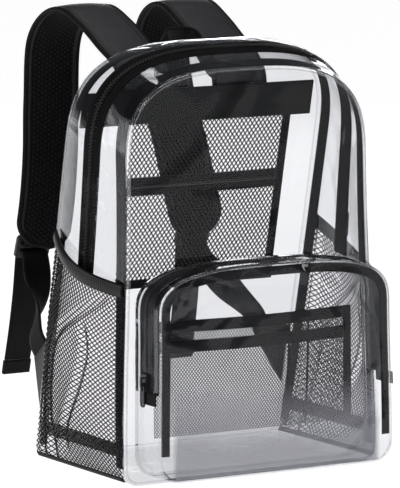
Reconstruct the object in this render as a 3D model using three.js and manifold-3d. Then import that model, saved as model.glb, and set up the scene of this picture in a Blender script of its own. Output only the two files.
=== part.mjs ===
// A clear stadium backpack, standing on its base. Millimetres, +X right seen from the front,
// the front faces -Y, +Z up. The origin is the middle of the base, on the ground.
import * as THREE from 'three';
import { mergeVertices } from 'three/addons/utils/BufferGeometryUtils.js';
import Module from 'manifold-3d';

const wasm = await Module();
wasm.setup();

// Bag body
const bagHeight = 430; // back seam at the top of the arch
const frontHeight = 408; // front seam at the top of the arch
const baseDepth = 186; // front seam to back seam on the ground
const topDepth = 82; // front seam to back seam at the top
const frontLean = 11; // how far the front seam leans back by the top
const frontBaseWidth = 296;
const frontWaistWidth = 279;
const backBaseWidth = 292;
const backWaistWidth = 297;
const baseCornerRadius = 16;
const shoulderHeight = 100; // height of the arch above the straight sides
const shoulderPower = 3; // exponent of the arch, where 2 would be an ellipse
const sideBulge = 6;
const topBulge = 5.5;
const panelCrown = 5; // how far the front and back sheets puff out

// Sheet and trim
const wall = 1.2; // clear sheet
const trim = 1; // binding, tape and organiser cloth
const gap = 0.3; // between pieces that touch
const sheetGap = 0.45; // between two faceted sheets that lie on each other
const pipingRadius = 2;
const bindingWidth = 14;
const bindingSetback = 5; // seam to the near edge of the binding inside it
const bindingStart = 17; // height where the bindings inside the seams start

// Main zip
const zipPlace = 0.5; // share of the gusset depth, from the front seam
const zipTapeWidth = 26;
const zipEndHeight = 196; // where the zip ends on both sides
const coilWidth = 6;
const coilHeight = 1.6;

// Yoke and inner pocket, on the inner face of the back sheet
const yokeTop = 380;
const yokeHeight = 35;
const yokeWidth = 270;
const innerPocketWidth = 176;
const innerPocketMiddle = 16;
const innerPocketBottom = 176;
const innerZipDrop = 55; // yoke to the zip across the inner pocket
const innerZipHeight = 20;
const innerBindingWidth = 9;

// Front pocket
const pocketWidth = 272;
const pocketTopWidth = 268;
const pocketBottom = 9;
const pocketTop = 219;
const pocketDepth = 48;
const pocketShoulder = 52;
const pocketPower = 3.2;
const pocketCornerRadius = 22;
const pocketCrown = 7;
const pocketPipingRadius = 1.6;
const pocketZipPlace = 0.5;
const pocketZipEnd = 96; // where the pocket zip ends on both sides
const pocketTapeWidth = 26;
const pocketCoilWidth = 5;
const pocketBindingDepth = 12;

// Organiser on the back of the front pocket
const organiserWidth = 222;
const organiserMiddle = -3;
const organiserBottom = 46;
const organiserTop = 162;
const organiserPuff = 9;
const organiserBindingHeight = 12;
const organiserBandHeight = 12;
const organiserBandDrop = 8; // top binding to the second band
const organiserSideWidth = 9;

// Sliders, and the pull of the front pocket
const sliderLength = 15;
const sliderWidth = 10;
const sliderPlate = 1.4;
const sliderSideClearance = 0.7; // coil to the slider's sides
const bridgeWidth = 2.6;
const bridgeLength = 9;
const bridgeWire = 1.3;
const pullEye = 3; // clear height under the bridge
const pullBar = 1.5; // thickness of the pull and of its bar under the bridge
const pullClearance = 0.5;
const pullSlot = 6.6; // bar to the far end of the slot for the bridge
const pullLength = 24;
const pullWidth = 7;
const pullRingOpening = 3.4;
const pocketSliderRise = 12; // end of the zip to the middle of the slider
const mainSliderHeight = 246;
const mainSliderSpacing = 18;
const endTabReach = 30;
const endTabHeight = 12;

// Side pockets of net
const netBottom = 5;
const netBackTop = 214;
const netFrontTop = 187;
const netSag = 7;
const netPouch = 17;
const netThickness = 1;
const netStandoff = 0.7; // net to the side sheet where it is sewn down
const netEdge = 4; // seam to the net at front and back
const elasticHeight = 12;
const elasticThickness = 2;
const sideBandBottom = 28; // black band low on the side sheet
const sideBandHeight = 13;
const netHemHeight = 4;

// Shoulder straps
const strapWidth = 62;
const strapThickness = 9;
const strapSpacing = 108; // middle to middle of the pads where they are sewn on
const strapTop = 452; // crest of the pad's middle
const strapReach = 196; // how far the pad stands behind the middle of the bag
const strapSpread = 96; // sideways place of the pad's lower end
const strapRoot = 372; // height where the pad is sewn to the back
const strapEnd = 205; // height of the lower end
const strapRound = 24; // length of the rounded end
const webWidth = 30;
const webThickness = 1.8;
const keeperLength = 26;
const buckleWidth = 40;
const buckleLength = 25;
const buckleThickness = 4;
const buckleBar = 4.5;
const buckleStandoff = 17; // pad to the middle of the ladder buckle
const buckleTilt = 20; // degrees
const tailLength = 134;
const tailLean = 20;
const tailFold = 14;
const anchorBottom = 56;
const anchorTop = 118;
const anchorReach = 34;
const anchorInward = 12; // how far the wing bends in by its outer edge
const anchorThickness = 2;

// Carrying loop
const handleSpan = 40;
const handleRoot = 396;
const handleTop = 428;
const handleReach = 57;
const handleWidth = 21;
const handleThickness = 2.6;

// Colours and finishes
const clear = { color: 0xe9ecef, roughness: 0.08, metalness: 0 };
const smoke = { color: 0x55565c, roughness: 0.35, metalness: 0 };
const black = { color: 0x121214, roughness: 0.8, metalness: 0 };
const netting = { color: 0x1a1a1c, roughness: 0.85, metalness: 0 };
const nylon = { color: 0x2f2f33, roughness: 0.7, metalness: 0 };
const plastic = { color: 0x101012, roughness: 0.4, metalness: 0 };
const metal = { color: 0x1b1b1e, roughness: 0.35, metalness: 0.8 };

const group = new THREE.Group();

function add(name, geometry, finish) {
  const mesh = new THREE.Mesh(geometry, new THREE.MeshStandardMaterial(finish));
  mesh.name = name;
  group.add(mesh);
  return mesh;
}

// Small helpers

function smooth(from, to, value) {
  return THREE.MathUtils.smoothstep(value, from, to);
}

function steps(from, to, count) {
  return Array.from({ length: count + 1 }, (_, k) => from + ((to - from) * k) / count);
}

// Turns a soup of faces the right way out and makes a geometry of it.
function solidFrom(points, faces) {
  let volume = 0;
  for (const [a, b, c] of faces) {
    volume += points[a].dot(new THREE.Vector3().crossVectors(points[b], points[c]));
  }
  const geometry = new THREE.BufferGeometry();
  const positions = points.flatMap((p) => [p.x, p.y, p.z]);
  const indices = faces.flatMap(([a, b, c]) => (volume < 0 ? [a, c, b] : [a, b, c]));
  geometry.setAttribute('position', new THREE.Float32BufferAttribute(positions, 3));
  geometry.setIndex(indices);
  geometry.computeVertexNormals();
  return geometry;
}

// A sheet of even thickness under a surface, given by rows and columns of its parameters.
// The outside of the surface is the side that its column direction crossed with its row
// direction points to, and the sheet starts "inset" below it.
function sheet(rows, columns, pointAt, inset, thickness) {
  const grid = rows.map((r) => columns.map((c) => pointAt(r, c)));
  const last = rows.length - 1;
  const end = columns.length - 1;
  const points = [];
  for (const depth of [inset, inset + thickness]) {
    for (let i = 0; i <= last; i += 1) {
      for (let j = 0; j <= end; j += 1) {
        const alongRow = grid[Math.min(i + 1, last)][j].clone().sub(grid[Math.max(i - 1, 0)][j]);
        const alongColumn = grid[i][Math.min(j + 1, end)].clone().sub(grid[i][Math.max(j - 1, 0)]);
        const normal = alongColumn.cross(alongRow).normalize();
        points.push(grid[i][j].clone().addScaledVector(normal, -depth));
      }
    }
  }
  const width = end + 1;
  const inner = (last + 1) * width;
  const faces = [];
  const quad = (a, b, c, d) => faces.push([a, b, c], [a, c, d]);
  for (let i = 0; i < last; i += 1) {
    for (let j = 0; j < end; j += 1) {
      const a = i * width + j;
      quad(a, a + 1, a + width + 1, a + width);
      quad(inner + a, inner + a + width, inner + a + width + 1, inner + a + 1);
    }
  }
  for (let i = 0; i < last; i += 1) {
    const a = i * width;
    const b = a + end;
    quad(a, a + width, inner + a + width, inner + a);
    quad(b, inner + b, inner + b + width, b + width);
  }
  for (let j = 0; j < end; j += 1) {
    const a = j;
    const b = last * width + j;
    quad(a, inner + a, inner + a + 1, a + 1);
    quad(b, b + 1, inner + b + 1, inner + b);
  }
  return solidFrom(points, faces);
}

// A skin over a row of equal sections, closed into a ring or capped at both ends. The second
// half of a section is split the other way, so that both faces of a twisted strip stay alike.
function skin(sections, ring) {
  const count = sections.length;
  const sides = sections[0].length;
  const points = sections.flat();
  const faces = [];
  for (let i = 0; i < (ring ? count : count - 1); i += 1) {
    const here = i * sides;
    const next = ((i + 1) % count) * sides;
    for (let j = 0; j < sides; j += 1) {
      const k = (j + 1) % sides;
      if (j < sides / 2) {
        faces.push([here + j, here + k, next + k], [here + j, next + k, next + j]);
      } else {
        faces.push([here + j, here + k, next + j], [here + k, next + k, next + j]);
      }
    }
  }
  if (!ring) {
    const top = (count - 1) * sides;
    for (let j = 1; j < sides - 1; j += 1) {
      faces.push([0, j + 1, j], [top, top + j, top + j + 1]);
    }
  }
  return solidFrom(points, faces);
}

// A strip with a given section carried along a route. Each station has a place, directions
// along and across the strip, a width and a thickness.
function strip(stations, section) {
  const sections = stations.map((station) => {
    const { along } = station;
    const across = station.across.clone().addScaledVector(along, -station.across.dot(along));
    across.normalize();
    const out = new THREE.Vector3().crossVectors(along, across);
    return section.map(([w, n]) => station.place.clone()
      .addScaledVector(across, (w * station.width) / 2)
      .addScaledVector(out, (n * station.thickness) / 2));
  });
  return skin(sections, false);
}

const flatSection = [[-1, -1], [1, -1], [1, 1], [-1, 1]];
const paddedSection = [
  [-1, -0.3], [-0.85, -1], [0.85, -1], [1, -0.3], [1, 0.3], [0.85, 1], [-0.85, 1], [-1, 0.3],
];

function joined(geometries) {
  const solids = geometries.map((geometry) => {
    const bare = geometry.clone();
    bare.deleteAttribute('normal');
    bare.deleteAttribute('uv');
    const merged = mergeVertices(bare, 1e-4);
    return new wasm.Manifold(new wasm.Mesh({
      numProp: 3,
      vertProperties: new Float32Array(merged.attributes.position.array),
      triVerts: new Uint32Array(merged.index.array),
    }));
  });
  const whole = solids.reduce((sum, solid) => sum.add(solid)).getMesh();
  const geometry = new THREE.BufferGeometry();
  geometry.setAttribute('position', new THREE.Float32BufferAttribute(whole.vertProperties, 3));
  geometry.setIndex(new THREE.Uint32BufferAttribute(whole.triVerts, 1));
  geometry.computeVertexNormals();
  return geometry;
}

// Outline of an arch, from the middle of its foot round its right side to the top and back.
// A half goes through the foot, the foot's corner, the side and the shoulder.
const stops = { corner: 0.16, side: 0.22, shoulder: 0.62, top: 1 };
const stepsPerPart = { foot: 1, corner: 2, side: 5, shoulder: 8 };

function archOutline(share, arch) {
  const right = share <= 0.5;
  const h = 2 * (right ? share : 1 - share);
  const half = arch.base / 2;
  let x;
  let z;
  if (h <= stops.corner) {
    x = (h / stops.corner) * (half - arch.corner);
    z = 0;
  } else if (h <= stops.side) {
    const turn = ((h - stops.corner) / (stops.side - stops.corner)) * (Math.PI / 2);
    x = half - arch.corner + arch.corner * Math.sin(turn);
    z = arch.corner * (1 - Math.cos(turn));
  } else if (h <= stops.shoulder) {
    const rise = (h - stops.side) / (stops.shoulder - stops.side);
    x = half + (arch.waist / 2 - half) * smooth(0, 1, rise);
    z = arch.corner + (arch.height - arch.shoulder - arch.corner) * rise;
  } else {
    const turn = Math.min((h - stops.shoulder) / (stops.top - stops.shoulder), 1) * (Math.PI / 2);
    x = (arch.waist / 2) * Math.max(Math.cos(turn), 0) ** (2 / arch.power);
    z = arch.height - arch.shoulder + arch.shoulder * Math.sin(turn) ** (2 / arch.power);
  }
  return new THREE.Vector2(right ? x : -x, z + arch.foot);
}

function archNormal(share, arch) {
  const reach = 0.002;
  const before = archOutline((share - reach + 1) % 1, arch);
  const after = archOutline((share + reach) % 1, arch);
  return new THREE.Vector2(after.y - before.y, before.x - after.x).normalize();
}

function insetArch(share, arch, inset) {
  return archOutline(share, arch).addScaledVector(archNormal(share, arch), -inset);
}

// The shares of an outline at which sheets, bindings and pipings all have their sections.
function outlineShares(from = 0, to = 1) {
  const half = [
    ...steps(0, stops.corner, stepsPerPart.foot).slice(0, -1),
    ...steps(stops.corner, stops.side, stepsPerPart.corner).slice(0, -1),
    ...steps(stops.side, stops.shoulder, stepsPerPart.side).slice(0, -1),
    ...steps(stops.shoulder, stops.top, stepsPerPart.shoulder),
  ].map((h) => h / 2);
  const all = [...half, ...half.slice(0, -1).reverse().map((share) => 1 - share)];
  const inside = all.filter((share) => share > from + 1e-3 && share < to - 1e-3);
  return [from, ...inside, to];
}

// The share at which the right side of an arch reaches a height.
function shareAtHeight(z, arch) {
  const up = z - arch.foot;
  if (up < arch.corner) {
    const turn = Math.acos(1 - Math.max(up, 0) / arch.corner) / (Math.PI / 2);
    return (stops.corner + (stops.side - stops.corner) * turn) / 2;
  }
  const rise = (up - arch.corner) / (arch.height - arch.shoulder - arch.corner);
  return (stops.side + (stops.shoulder - stops.side) * rise) / 2;
}

const frontArch = {
  base: frontBaseWidth,
  waist: frontWaistWidth,
  height: frontHeight,
  corner: baseCornerRadius,
  shoulder: shoulderHeight,
  power: shoulderPower,
  foot: 0,
};
const backArch = { ...frontArch, base: backBaseWidth, waist: backWaistWidth, height: bagHeight };

function frontPlane(z) {
  return -baseDepth / 2 + (frontLean * z) / frontHeight;
}

function backPlane(z) {
  return baseDepth / 2 - ((baseDepth - frontLean - topDepth) * z) / bagHeight;
}

// The outside of the gusset: share runs round the outline, depth from front seam to back seam.
function bodySkin(share, depth) {
  const front = archOutline(share, frontArch);
  const back = archOutline(share, backArch);
  const normal = archNormal(share, frontArch);
  const h = 2 * Math.min(share, 1 - share);
  const swell = THREE.MathUtils.clamp((2 * (h - stops.side)) / (stops.shoulder - stops.side), 0, 1);
  const bulge = sideBulge * Math.sin((Math.PI / 2) * swell)
    + (topBulge - sideBulge) * smooth(stops.shoulder, stops.top, h);
  const lift = bulge * Math.sin(Math.PI * THREE.MathUtils.clamp(depth, 0, 1) ** 1.4);
  return new THREE.Vector3(
    THREE.MathUtils.lerp(front.x, back.x, depth) + lift * normal.x,
    THREE.MathUtils.lerp(frontPlane(front.y), backPlane(back.y), depth),
    THREE.MathUtils.lerp(front.y, back.y, depth) + lift * normal.y,
  );
}

function gussetDepth(share) {
  return bodySkin(share, 0).distanceTo(bodySkin(share, 1));
}

// A band of the gusset over some shares of the outline. Its lines along the outline are given
// as functions of the share that give a share of the depth.
function gussetBand(shares, lines, inset, thickness) {
  const at = (share, line) => bodySkin((share + 1) % 1, line((share + 1) % 1));
  return sheet(shares, lines, at, inset, thickness);
}

const fromFront = (distance) => (share) => distance / gussetDepth(share);
const fromBack = (distance) => (share) => 1 - distance / gussetDepth(share);
const fromZip = (distance) => (share) => zipPlace + distance / gussetDepth(share);

// Front and back sheets
const panelInset = 2 * pipingRadius + gap;
const panelColumns = steps(-1, 1, 7);

function panelRows() {
  return outlineShares(stops.corner / 2, 0.5).slice(0, -1);
}

// A point of a sheet that fills an arch: the row is a share of the outline, the column runs
// from the left edge at -1 to the right edge at 1.
function archFill(share, column, arch, inset) {
  const edge = insetArch(share, arch, inset);
  const top = insetArch(0.5, arch, inset).y;
  const rise = smooth(stops.shoulder, stops.top, 2 * share) ** 3;
  return new THREE.Vector2(edge.x * column, edge.y + (top - edge.y) * rise * (1 - column ** 2));
}

function crownAt(x, z, arch, crown) {
  const half = arch.waist / 2;
  const share = THREE.MathUtils.clamp((z - arch.foot) / arch.height, 0, 1);
  return crown * Math.max(1 - (x / half) ** 2, 0) * Math.sin(Math.PI * share);
}

const frontSkin = (x, z) => frontPlane(z) - crownAt(x, z, frontArch, panelCrown);
const backSkin = (x, z) => backPlane(z) + crownAt(x, z, backArch, panelCrown);

add('front_panel', sheet(panelColumns, panelRows(), (column, share) => {
  const p = archFill(share, column, frontArch, panelInset);
  return new THREE.Vector3(p.x, frontSkin(p.x, p.y), p.y);
}, 0, -wall), clear);

add('back_panel', sheet(panelColumns, panelRows(), (column, share) => {
  const p = archFill(share, column, backArch, panelInset);
  return new THREE.Vector3(p.x, backSkin(p.x, p.y), p.y);
}, 0, wall), clear);

// A round piping that follows an arch in its own plane or on the skin behind it.
function piping(arch, radius, sides, placeY, inset = radius) {
  const shares = outlineShares().slice(0, -1);
  const sections = shares.map((share) => {
    const centre = insetArch(share, arch, inset);
    const normal = archNormal(share, arch);
    return steps(0, 2 * Math.PI, sides).slice(0, -1).map((turn) => new THREE.Vector3(
      centre.x + radius * Math.cos(turn) * normal.x,
      placeY(centre.x, centre.y) + radius * Math.sin(turn),
      centre.y + radius * Math.cos(turn) * normal.y,
    ));
  });
  return skin(sections, true);
}

add('front_piping', piping(frontArch, pipingRadius, 6, (x, z) => frontPlane(z)), clear);
add('back_piping', piping(backArch, pipingRadius, 6, (x, z) => backPlane(z)), clear);

// Gusset of clear sheet, with the zip through its arch
const zipEndShare = shareAtHeight(zipEndHeight, frontArch);
const archShares = outlineShares(zipEndShare, 1 - zipEndShare);
const seatShare = gap / (2 * bagHeight); // the zip part and the lower part end this far apart
const leftLower = outlineShares(1 - zipEndShare + seatShare, 1);
const rightLower = outlineShares(0, zipEndShare - seatShare);
const lowerShares = [...leftLower.slice(0, -1).map((share) => share - 1), ...rightLower];
const seamClear = pipingRadius + gap;

const frontLines = [
  fromFront(seamClear), fromFront(bindingSetback), fromFront(bindingSetback + bindingWidth),
];
const backLines = [
  fromBack(bindingSetback + bindingWidth), fromBack(bindingSetback), fromBack(seamClear),
];
const tapeLines = [
  fromZip(-zipTapeWidth / 2), fromZip(-coilWidth / 2), fromZip(coilWidth / 2),
  fromZip(zipTapeWidth / 2),
];

add('front_gusset', gussetBand(
  archShares, [...frontLines, fromZip(-zipTapeWidth / 2 - gap)], 0, wall,
), clear);
add('rear_gusset', gussetBand(
  archShares, [fromZip(zipTapeWidth / 2 + gap), ...backLines], 0, wall,
), clear);
add('lower_gusset', gussetBand(
  lowerShares, [...frontLines, fromZip(0), ...backLines], 0, wall,
), clear);
const coilShares = outlineShares(zipEndShare + seatShare, 1 - zipEndShare - seatShare);
add('main_zip_tape', gussetBand(archShares, tapeLines, 0, trim), black);
add('main_zip_coil', gussetBand(
  coilShares, tapeLines.slice(1, 3), -coilHeight - gap, coilHeight,
), black);

// Black bindings inside the front and back seams
const bindingInset = wall + sheetGap;
const bindingShare = shareAtHeight(bindingStart, frontArch);
const ringShares = outlineShares(bindingShare, 1 - bindingShare);
add('front_binding', gussetBand(ringShares, frontLines.slice(1), bindingInset, trim), black);
add('back_binding', gussetBand(ringShares, backLines.slice(0, 2), bindingInset, trim), black);

// Yoke and inner pocket
const innerFace = wall + sheetGap;

// A flat piece that lies on the inner face of the back sheet, "lift" away from it.
function onBackSheet(fromX, toX, fromZ, toZ, columns, rows, lift, thickness) {
  return sheet(steps(fromX, toX, columns), steps(fromZ, toZ, rows), (x, z) => (
    new THREE.Vector3(x, backSkin(x, z), z)
  ), lift, thickness);
}

const yokeBottom = yokeTop - yokeHeight;
const innerLeft = innerPocketMiddle - innerPocketWidth / 2;
const innerRight = innerPocketMiddle + innerPocketWidth / 2;
const innerTop = yokeBottom - gap;
const innerZipBottom = yokeBottom - innerZipDrop - innerZipHeight;
const layer = trim + sheetGap;

add('yoke_band', onBackSheet(
  -yokeWidth / 2, yokeWidth / 2, yokeBottom, yokeTop, 8, 3, innerFace, 2 * trim,
), black);
add('inner_pocket_net', onBackSheet(
  innerLeft, innerRight, innerPocketBottom, innerTop, 6, 6, innerFace, trim,
), netting);
add('inner_pocket_zip', onBackSheet(
  innerLeft, innerRight, innerZipBottom, innerZipBottom + innerZipHeight, 6, 1,
  innerFace + layer, trim,
), black);
add('inner_pocket_binding', onBackSheet(
  innerRight + gap, innerRight + gap + innerBindingWidth, innerPocketBottom, innerTop, 1, 6,
  innerFace, trim,
), black);

// Front pocket
const pocketArch = {
  base: pocketWidth,
  waist: pocketTopWidth,
  height: pocketTop - pocketBottom,
  corner: pocketCornerRadius,
  shoulder: pocketShoulder,
  power: pocketPower,
  foot: pocketBottom,
};

// The back of the pocket lies on the front sheet, and its front stands in front of that.
function pocketSkin(share, depth) {
  const p = archOutline(share, pocketArch);
  return new THREE.Vector3(
    p.x,
    frontSkin(p.x, p.y) - sheetGap - pocketDepth * (1 - depth),
    p.y,
  );
}

function pocketBand(shares, from, to, columns, inset, thickness) {
  const at = (share, c) => pocketSkin((share + 1) % 1, THREE.MathUtils.lerp(from, to, c));
  return sheet(shares, steps(0, 1, columns), at, inset, thickness);
}

const pocketFace = (x, z) => frontSkin(x, z) - sheetGap - pocketDepth
  - crownAt(x, z, pocketArch, pocketCrown);
const pocketZipShare = shareAtHeight(pocketZipEnd, pocketArch);
const pocketShares = outlineShares(pocketZipShare, 1 - pocketZipShare);
const pocketSeat = gap / (2 * pocketTop);
const pocketLower = [
  ...outlineShares(1 - pocketZipShare + pocketSeat, 1).slice(0, -1).map((share) => share - 1),
  ...outlineShares(0, pocketZipShare - pocketSeat),
];
const pocketSeam = (2 * pocketPipingRadius + gap) / pocketDepth;
const pocketFrontSeam = (pocketPipingRadius + gap) / pocketDepth;
const halfTape = pocketTapeWidth / 2 / pocketDepth;
const tapeGap = gap / pocketDepth;
const pocketPanelInset = 2 * pocketPipingRadius + gap;

add('pocket_front', sheet(panelColumns, panelRows(), (column, share) => {
  const p = archFill(share, column, pocketArch, pocketPanelInset);
  return new THREE.Vector3(p.x, pocketFace(p.x, p.y), p.y);
}, 0, -wall), clear);
add('pocket_front_piping', piping(pocketArch, pocketPipingRadius, 5,
  (x, z) => frontSkin(x, z) - sheetGap - pocketDepth), clear);
add('pocket_back_piping', piping(pocketArch, pocketPipingRadius, 5,
  (x, z) => frontSkin(x, z) - sheetGap - pocketPipingRadius), clear);
add('pocket_front_strip', pocketBand(
  pocketShares, pocketFrontSeam, pocketZipPlace - halfTape - tapeGap, 1, 0, wall,
), clear);
add('pocket_rear_strip', pocketBand(
  pocketShares, pocketZipPlace + halfTape + tapeGap, 1 - pocketSeam, 1, 0, wall,
), clear);
add('pocket_zip_tape', pocketBand(
  pocketShares, pocketZipPlace - halfTape, pocketZipPlace + halfTape, 1, 0, trim,
), smoke);
const halfCoil = pocketCoilWidth / 2 / pocketDepth;
const pocketCoilShares = outlineShares(
  pocketZipShare + pocketSeat, 1 - pocketZipShare - pocketSeat,
);
add('pocket_zip_coil', pocketBand(
  pocketCoilShares, pocketZipPlace - halfCoil, pocketZipPlace + halfCoil, 1,
  -coilHeight - gap, coilHeight,
), black);
add('pocket_floor', pocketBand(
  pocketLower, pocketFrontSeam, 1 - pocketSeam, 2, 0, wall,
), clear);
add('pocket_binding', pocketBand(
  pocketShares, pocketFrontSeam * 2, pocketFrontSeam * 2 + pocketBindingDepth / pocketDepth,
  1, bindingInset, trim,
), black);

// Organiser, sewn to the front sheet behind the pocket
const organiserLeft = organiserMiddle - organiserWidth / 2;
const organiserRight = organiserMiddle + organiserWidth / 2;

function organiserSkin(x, z) {
  const across = (x - organiserLeft) / organiserWidth;
  const up = (z - organiserBottom) / (organiserTop - organiserBottom);
  const puff = organiserPuff * Math.sin(Math.PI * THREE.MathUtils.clamp(across, 0, 1))
    * Math.sin((Math.PI / 2) * THREE.MathUtils.clamp(up, 0, 1));
  return new THREE.Vector3(x, frontSkin(x, z) - puff, z);
}

function organiserPiece(fromX, toX, fromZ, toZ, columns, rows, lift, thickness) {
  return sheet(
    steps(fromX, toX, columns), steps(fromZ, toZ, rows), organiserSkin, lift, -thickness,
  );
}

const bindingBottom = organiserTop - organiserBindingHeight;
add('organiser_net', organiserPiece(
  organiserLeft, organiserRight, organiserBottom, bindingBottom - gap, 10, 5, sheetGap, -trim,
), netting);
add('organiser_top_binding', organiserPiece(
  organiserLeft, organiserRight, bindingBottom, organiserTop, 10, 1, sheetGap, -trim,
), black);
add('organiser_band', organiserPiece(
  organiserLeft, organiserRight, bindingBottom - organiserBandDrop - organiserBandHeight,
  bindingBottom - organiserBandDrop, 10, 1, sheetGap + layer, -trim,
), black);
add('organiser_side_binding', organiserPiece(
  organiserRight + gap, organiserRight + gap + organiserSideWidth, organiserBottom, organiserTop,
  1, 5, sheetGap, -trim,
), black);

// Side pockets: a net that stands off the side sheet, with an elastic on its top edge
function netTop(across) {
  return THREE.MathUtils.lerp(netFrontTop, netBackTop, across)
    - netSag * Math.sin(Math.PI * across);
}

// A point of the side sheet, or of the net that bellies out in front of it.
function sideSkin(side, across, z, pouch, standoff) {
  const share = shareAtHeight(z, frontArch);
  const depth = THREE.MathUtils.lerp(fromFront(netEdge)(share), fromBack(netEdge)(share), across);
  const place = bodySkin(share, depth);
  const up = (z - netBottom) / (netTop(across) - netBottom);
  const belly = pouch * Math.sin(Math.PI * across) * smooth(0, 0.25, up)
    * Math.sin(Math.PI * (0.12 + 0.75 * THREE.MathUtils.clamp(up, 0, 1)));
  place.x = side * (place.x + standoff + belly);
  return place;
}

// A piece of the side pocket between two heights, each given as a function of "across".
function sidePiece(side, low, high, columns, rows, pouch, standoff, thickness) {
  const at = (across, up) => {
    const z = THREE.MathUtils.lerp(low(across), high(across), up);
    return sideSkin(side, across, z, pouch, standoff);
  };
  return sheet(steps(0, 1, columns), rows, at, 0, side * thickness);
}

const hemTop = netBottom + netHemHeight;
const bandStart = bindingSetback + bindingWidth + gap;
const bandInset = wall + sheetGap + 2 * gap;
const hemRows = [0, 0.5, 1];
const cornerRow = (baseCornerRadius - hemTop - gap) / (netFrontTop - hemTop);
const netRows = [0, cornerRow, ...steps(0.16, 1, 6)];
for (const [word, side] of [['left', -1], ['right', 1]]) {
  const level = (height) => () => height;
  add(`side_net_${word}`, sidePiece(
    side, level(hemTop + gap), netTop, 8, netRows, netPouch, netStandoff, netThickness,
  ), netting);
  add(`side_elastic_${word}`, sidePiece(
    side, (across) => netTop(across) + gap, (across) => netTop(across) + gap + elasticHeight,
    8, [0, 1], netPouch, netStandoff, elasticThickness,
  ), black);
  add(`side_hem_${word}`, sidePiece(
    side, level(netBottom), level(hemTop), 6, hemRows, 0, netStandoff, 2 * trim,
  ), black);
  const bandShares = [sideBandBottom, sideBandBottom + sideBandHeight]
    .map((z) => shareAtHeight(z, frontArch));
  const shares = side > 0 ? bandShares : bandShares.map((share) => 1 - share).reverse();
  add(`side_band_${word}`, gussetBand(
    shares, [fromFront(bandStart), fromZip(0), fromBack(bandStart)], bandInset, trim,
  ), black);
}

// Shoulder straps. Shares of the way from the root to the lower end: sideways, back, and up
// from the root on the rise or from the lower end on the fall.
const strapRise = [
  { across: 0, back: 0, up: 0 },
  { across: 0, back: 0.02, up: 0.22 },
  { across: 0.01, back: 0.09, up: 0.4 },
  { across: 0.04, back: 0.24, up: 0.58 },
  { across: 0.07, back: 0.46, up: 0.84 },
  { across: 0.12, back: 0.67, up: 1 },
];
const strapFall = [
  { across: 0.17, back: 0.86, up: 0.965 },
  { across: 0.24, back: 0.985, up: 0.86 },
  { across: 0.38, back: 0.97, up: 0.6 },
  { across: 0.57, back: 0.9, up: 0.39 },
  { across: 0.76, back: 0.86, up: 0.19 },
  { across: 1, back: 0.835, up: 0 },
];

const padInnerEdge = (strapSpacing - strapWidth) / 2;
const rootY = backSkin(padInnerEdge, strapRoot) + gap + strapThickness / 2;

function strapCurve(side) {
  const rows = [
    ...strapRise.map((row) => ({ ...row, z: THREE.MathUtils.lerp(strapRoot, strapTop, row.up) })),
    ...strapFall.map((row) => ({ ...row, z: THREE.MathUtils.lerp(strapEnd, strapTop, row.up) })),
  ];
  return new THREE.CatmullRomCurve3(rows.map((row) => new THREE.Vector3(
    side * THREE.MathUtils.lerp(strapSpacing / 2, strapSpread, row.across),
    THREE.MathUtils.lerp(rootY, strapReach, row.back),
    row.z,
  )), false, 'centripetal');
}

const sideways = new THREE.Vector3(1, 0, 0);

function padStations(curve) {
  const length = curve.getLength();
  const straight = steps(0, length - strapRound, 18);
  const round = [0.42, 0.75, 0.93, 1].map((share) => length - strapRound * (1 - share));
  return [...straight, ...round].map((distance) => {
    const into = Math.max(0, distance - (length - strapRound)) / strapRound;
    return {
      place: curve.getPointAt(distance / length),
      along: curve.getTangentAt(distance / length),
      across: sideways,
      width: strapWidth * Math.sqrt(1 - Math.min(into, 0.94) ** 2),
      thickness: strapThickness,
    };
  });
}

// A flat ribbon along a smooth route, with a section at each of the given shares of it.
function ribbon(points, acrossAt, width, thickness, shares) {
  const curve = new THREE.CatmullRomCurve3(points, false, 'centripetal');
  const stations = shares.map((share) => ({
    place: curve.getPointAt(share),
    along: curve.getTangentAt(share),
    across: acrossAt(share),
    width,
    thickness,
  }));
  return strip(stations, flatSection);
}

const slotClearance = 0.6;
const buckleSlot = webThickness + 2 * slotClearance;
const slotPitch = (buckleBar + buckleSlot) / 2;
const tilt = THREE.MathUtils.degToRad(buckleTilt);
const buckleDown = new THREE.Vector3(0, Math.sin(tilt), -Math.cos(tilt));
const buckleOut = new THREE.Vector3().crossVectors(sideways, buckleDown);

function rectanglePath(path, middleX, middleY, width, height) {
  path.moveTo(middleX - width / 2, middleY - height / 2);
  path.lineTo(middleX + width / 2, middleY - height / 2);
  path.lineTo(middleX + width / 2, middleY + height / 2);
  path.lineTo(middleX - width / 2, middleY + height / 2);
  path.closePath();
  return path;
}

function chamferedPlate(width, height, cut) {
  const w = width / 2;
  const h = height / 2;
  return new THREE.Shape([
    [-w + cut, -h], [w - cut, -h], [w, -h + cut], [w, h - cut],
    [w - cut, h], [-w + cut, h], [-w, h - cut], [-w, -h + cut],
  ].map(([x, y]) => new THREE.Vector2(x, y)));
}

// Two slots, the upper for the keeper and the lower for the webbing
function buckleGeometry() {
  const shape = chamferedPlate(buckleWidth, buckleLength, buckleBar / 2);
  for (const middle of [-slotPitch, slotPitch]) {
    const opening = webWidth + 2 * gap;
    shape.holes.push(rectanglePath(new THREE.Path(), 0, middle, opening, buckleSlot));
  }
  const plate = new THREE.ExtrudeGeometry(shape, {
    depth: buckleThickness, bevelEnabled: false,
  });
  plate.translate(0, 0, -buckleThickness / 2);
  const frame = new THREE.Matrix4().makeBasis(sideways, buckleDown, buckleOut);
  return plate.applyMatrix4(frame);
}

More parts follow.
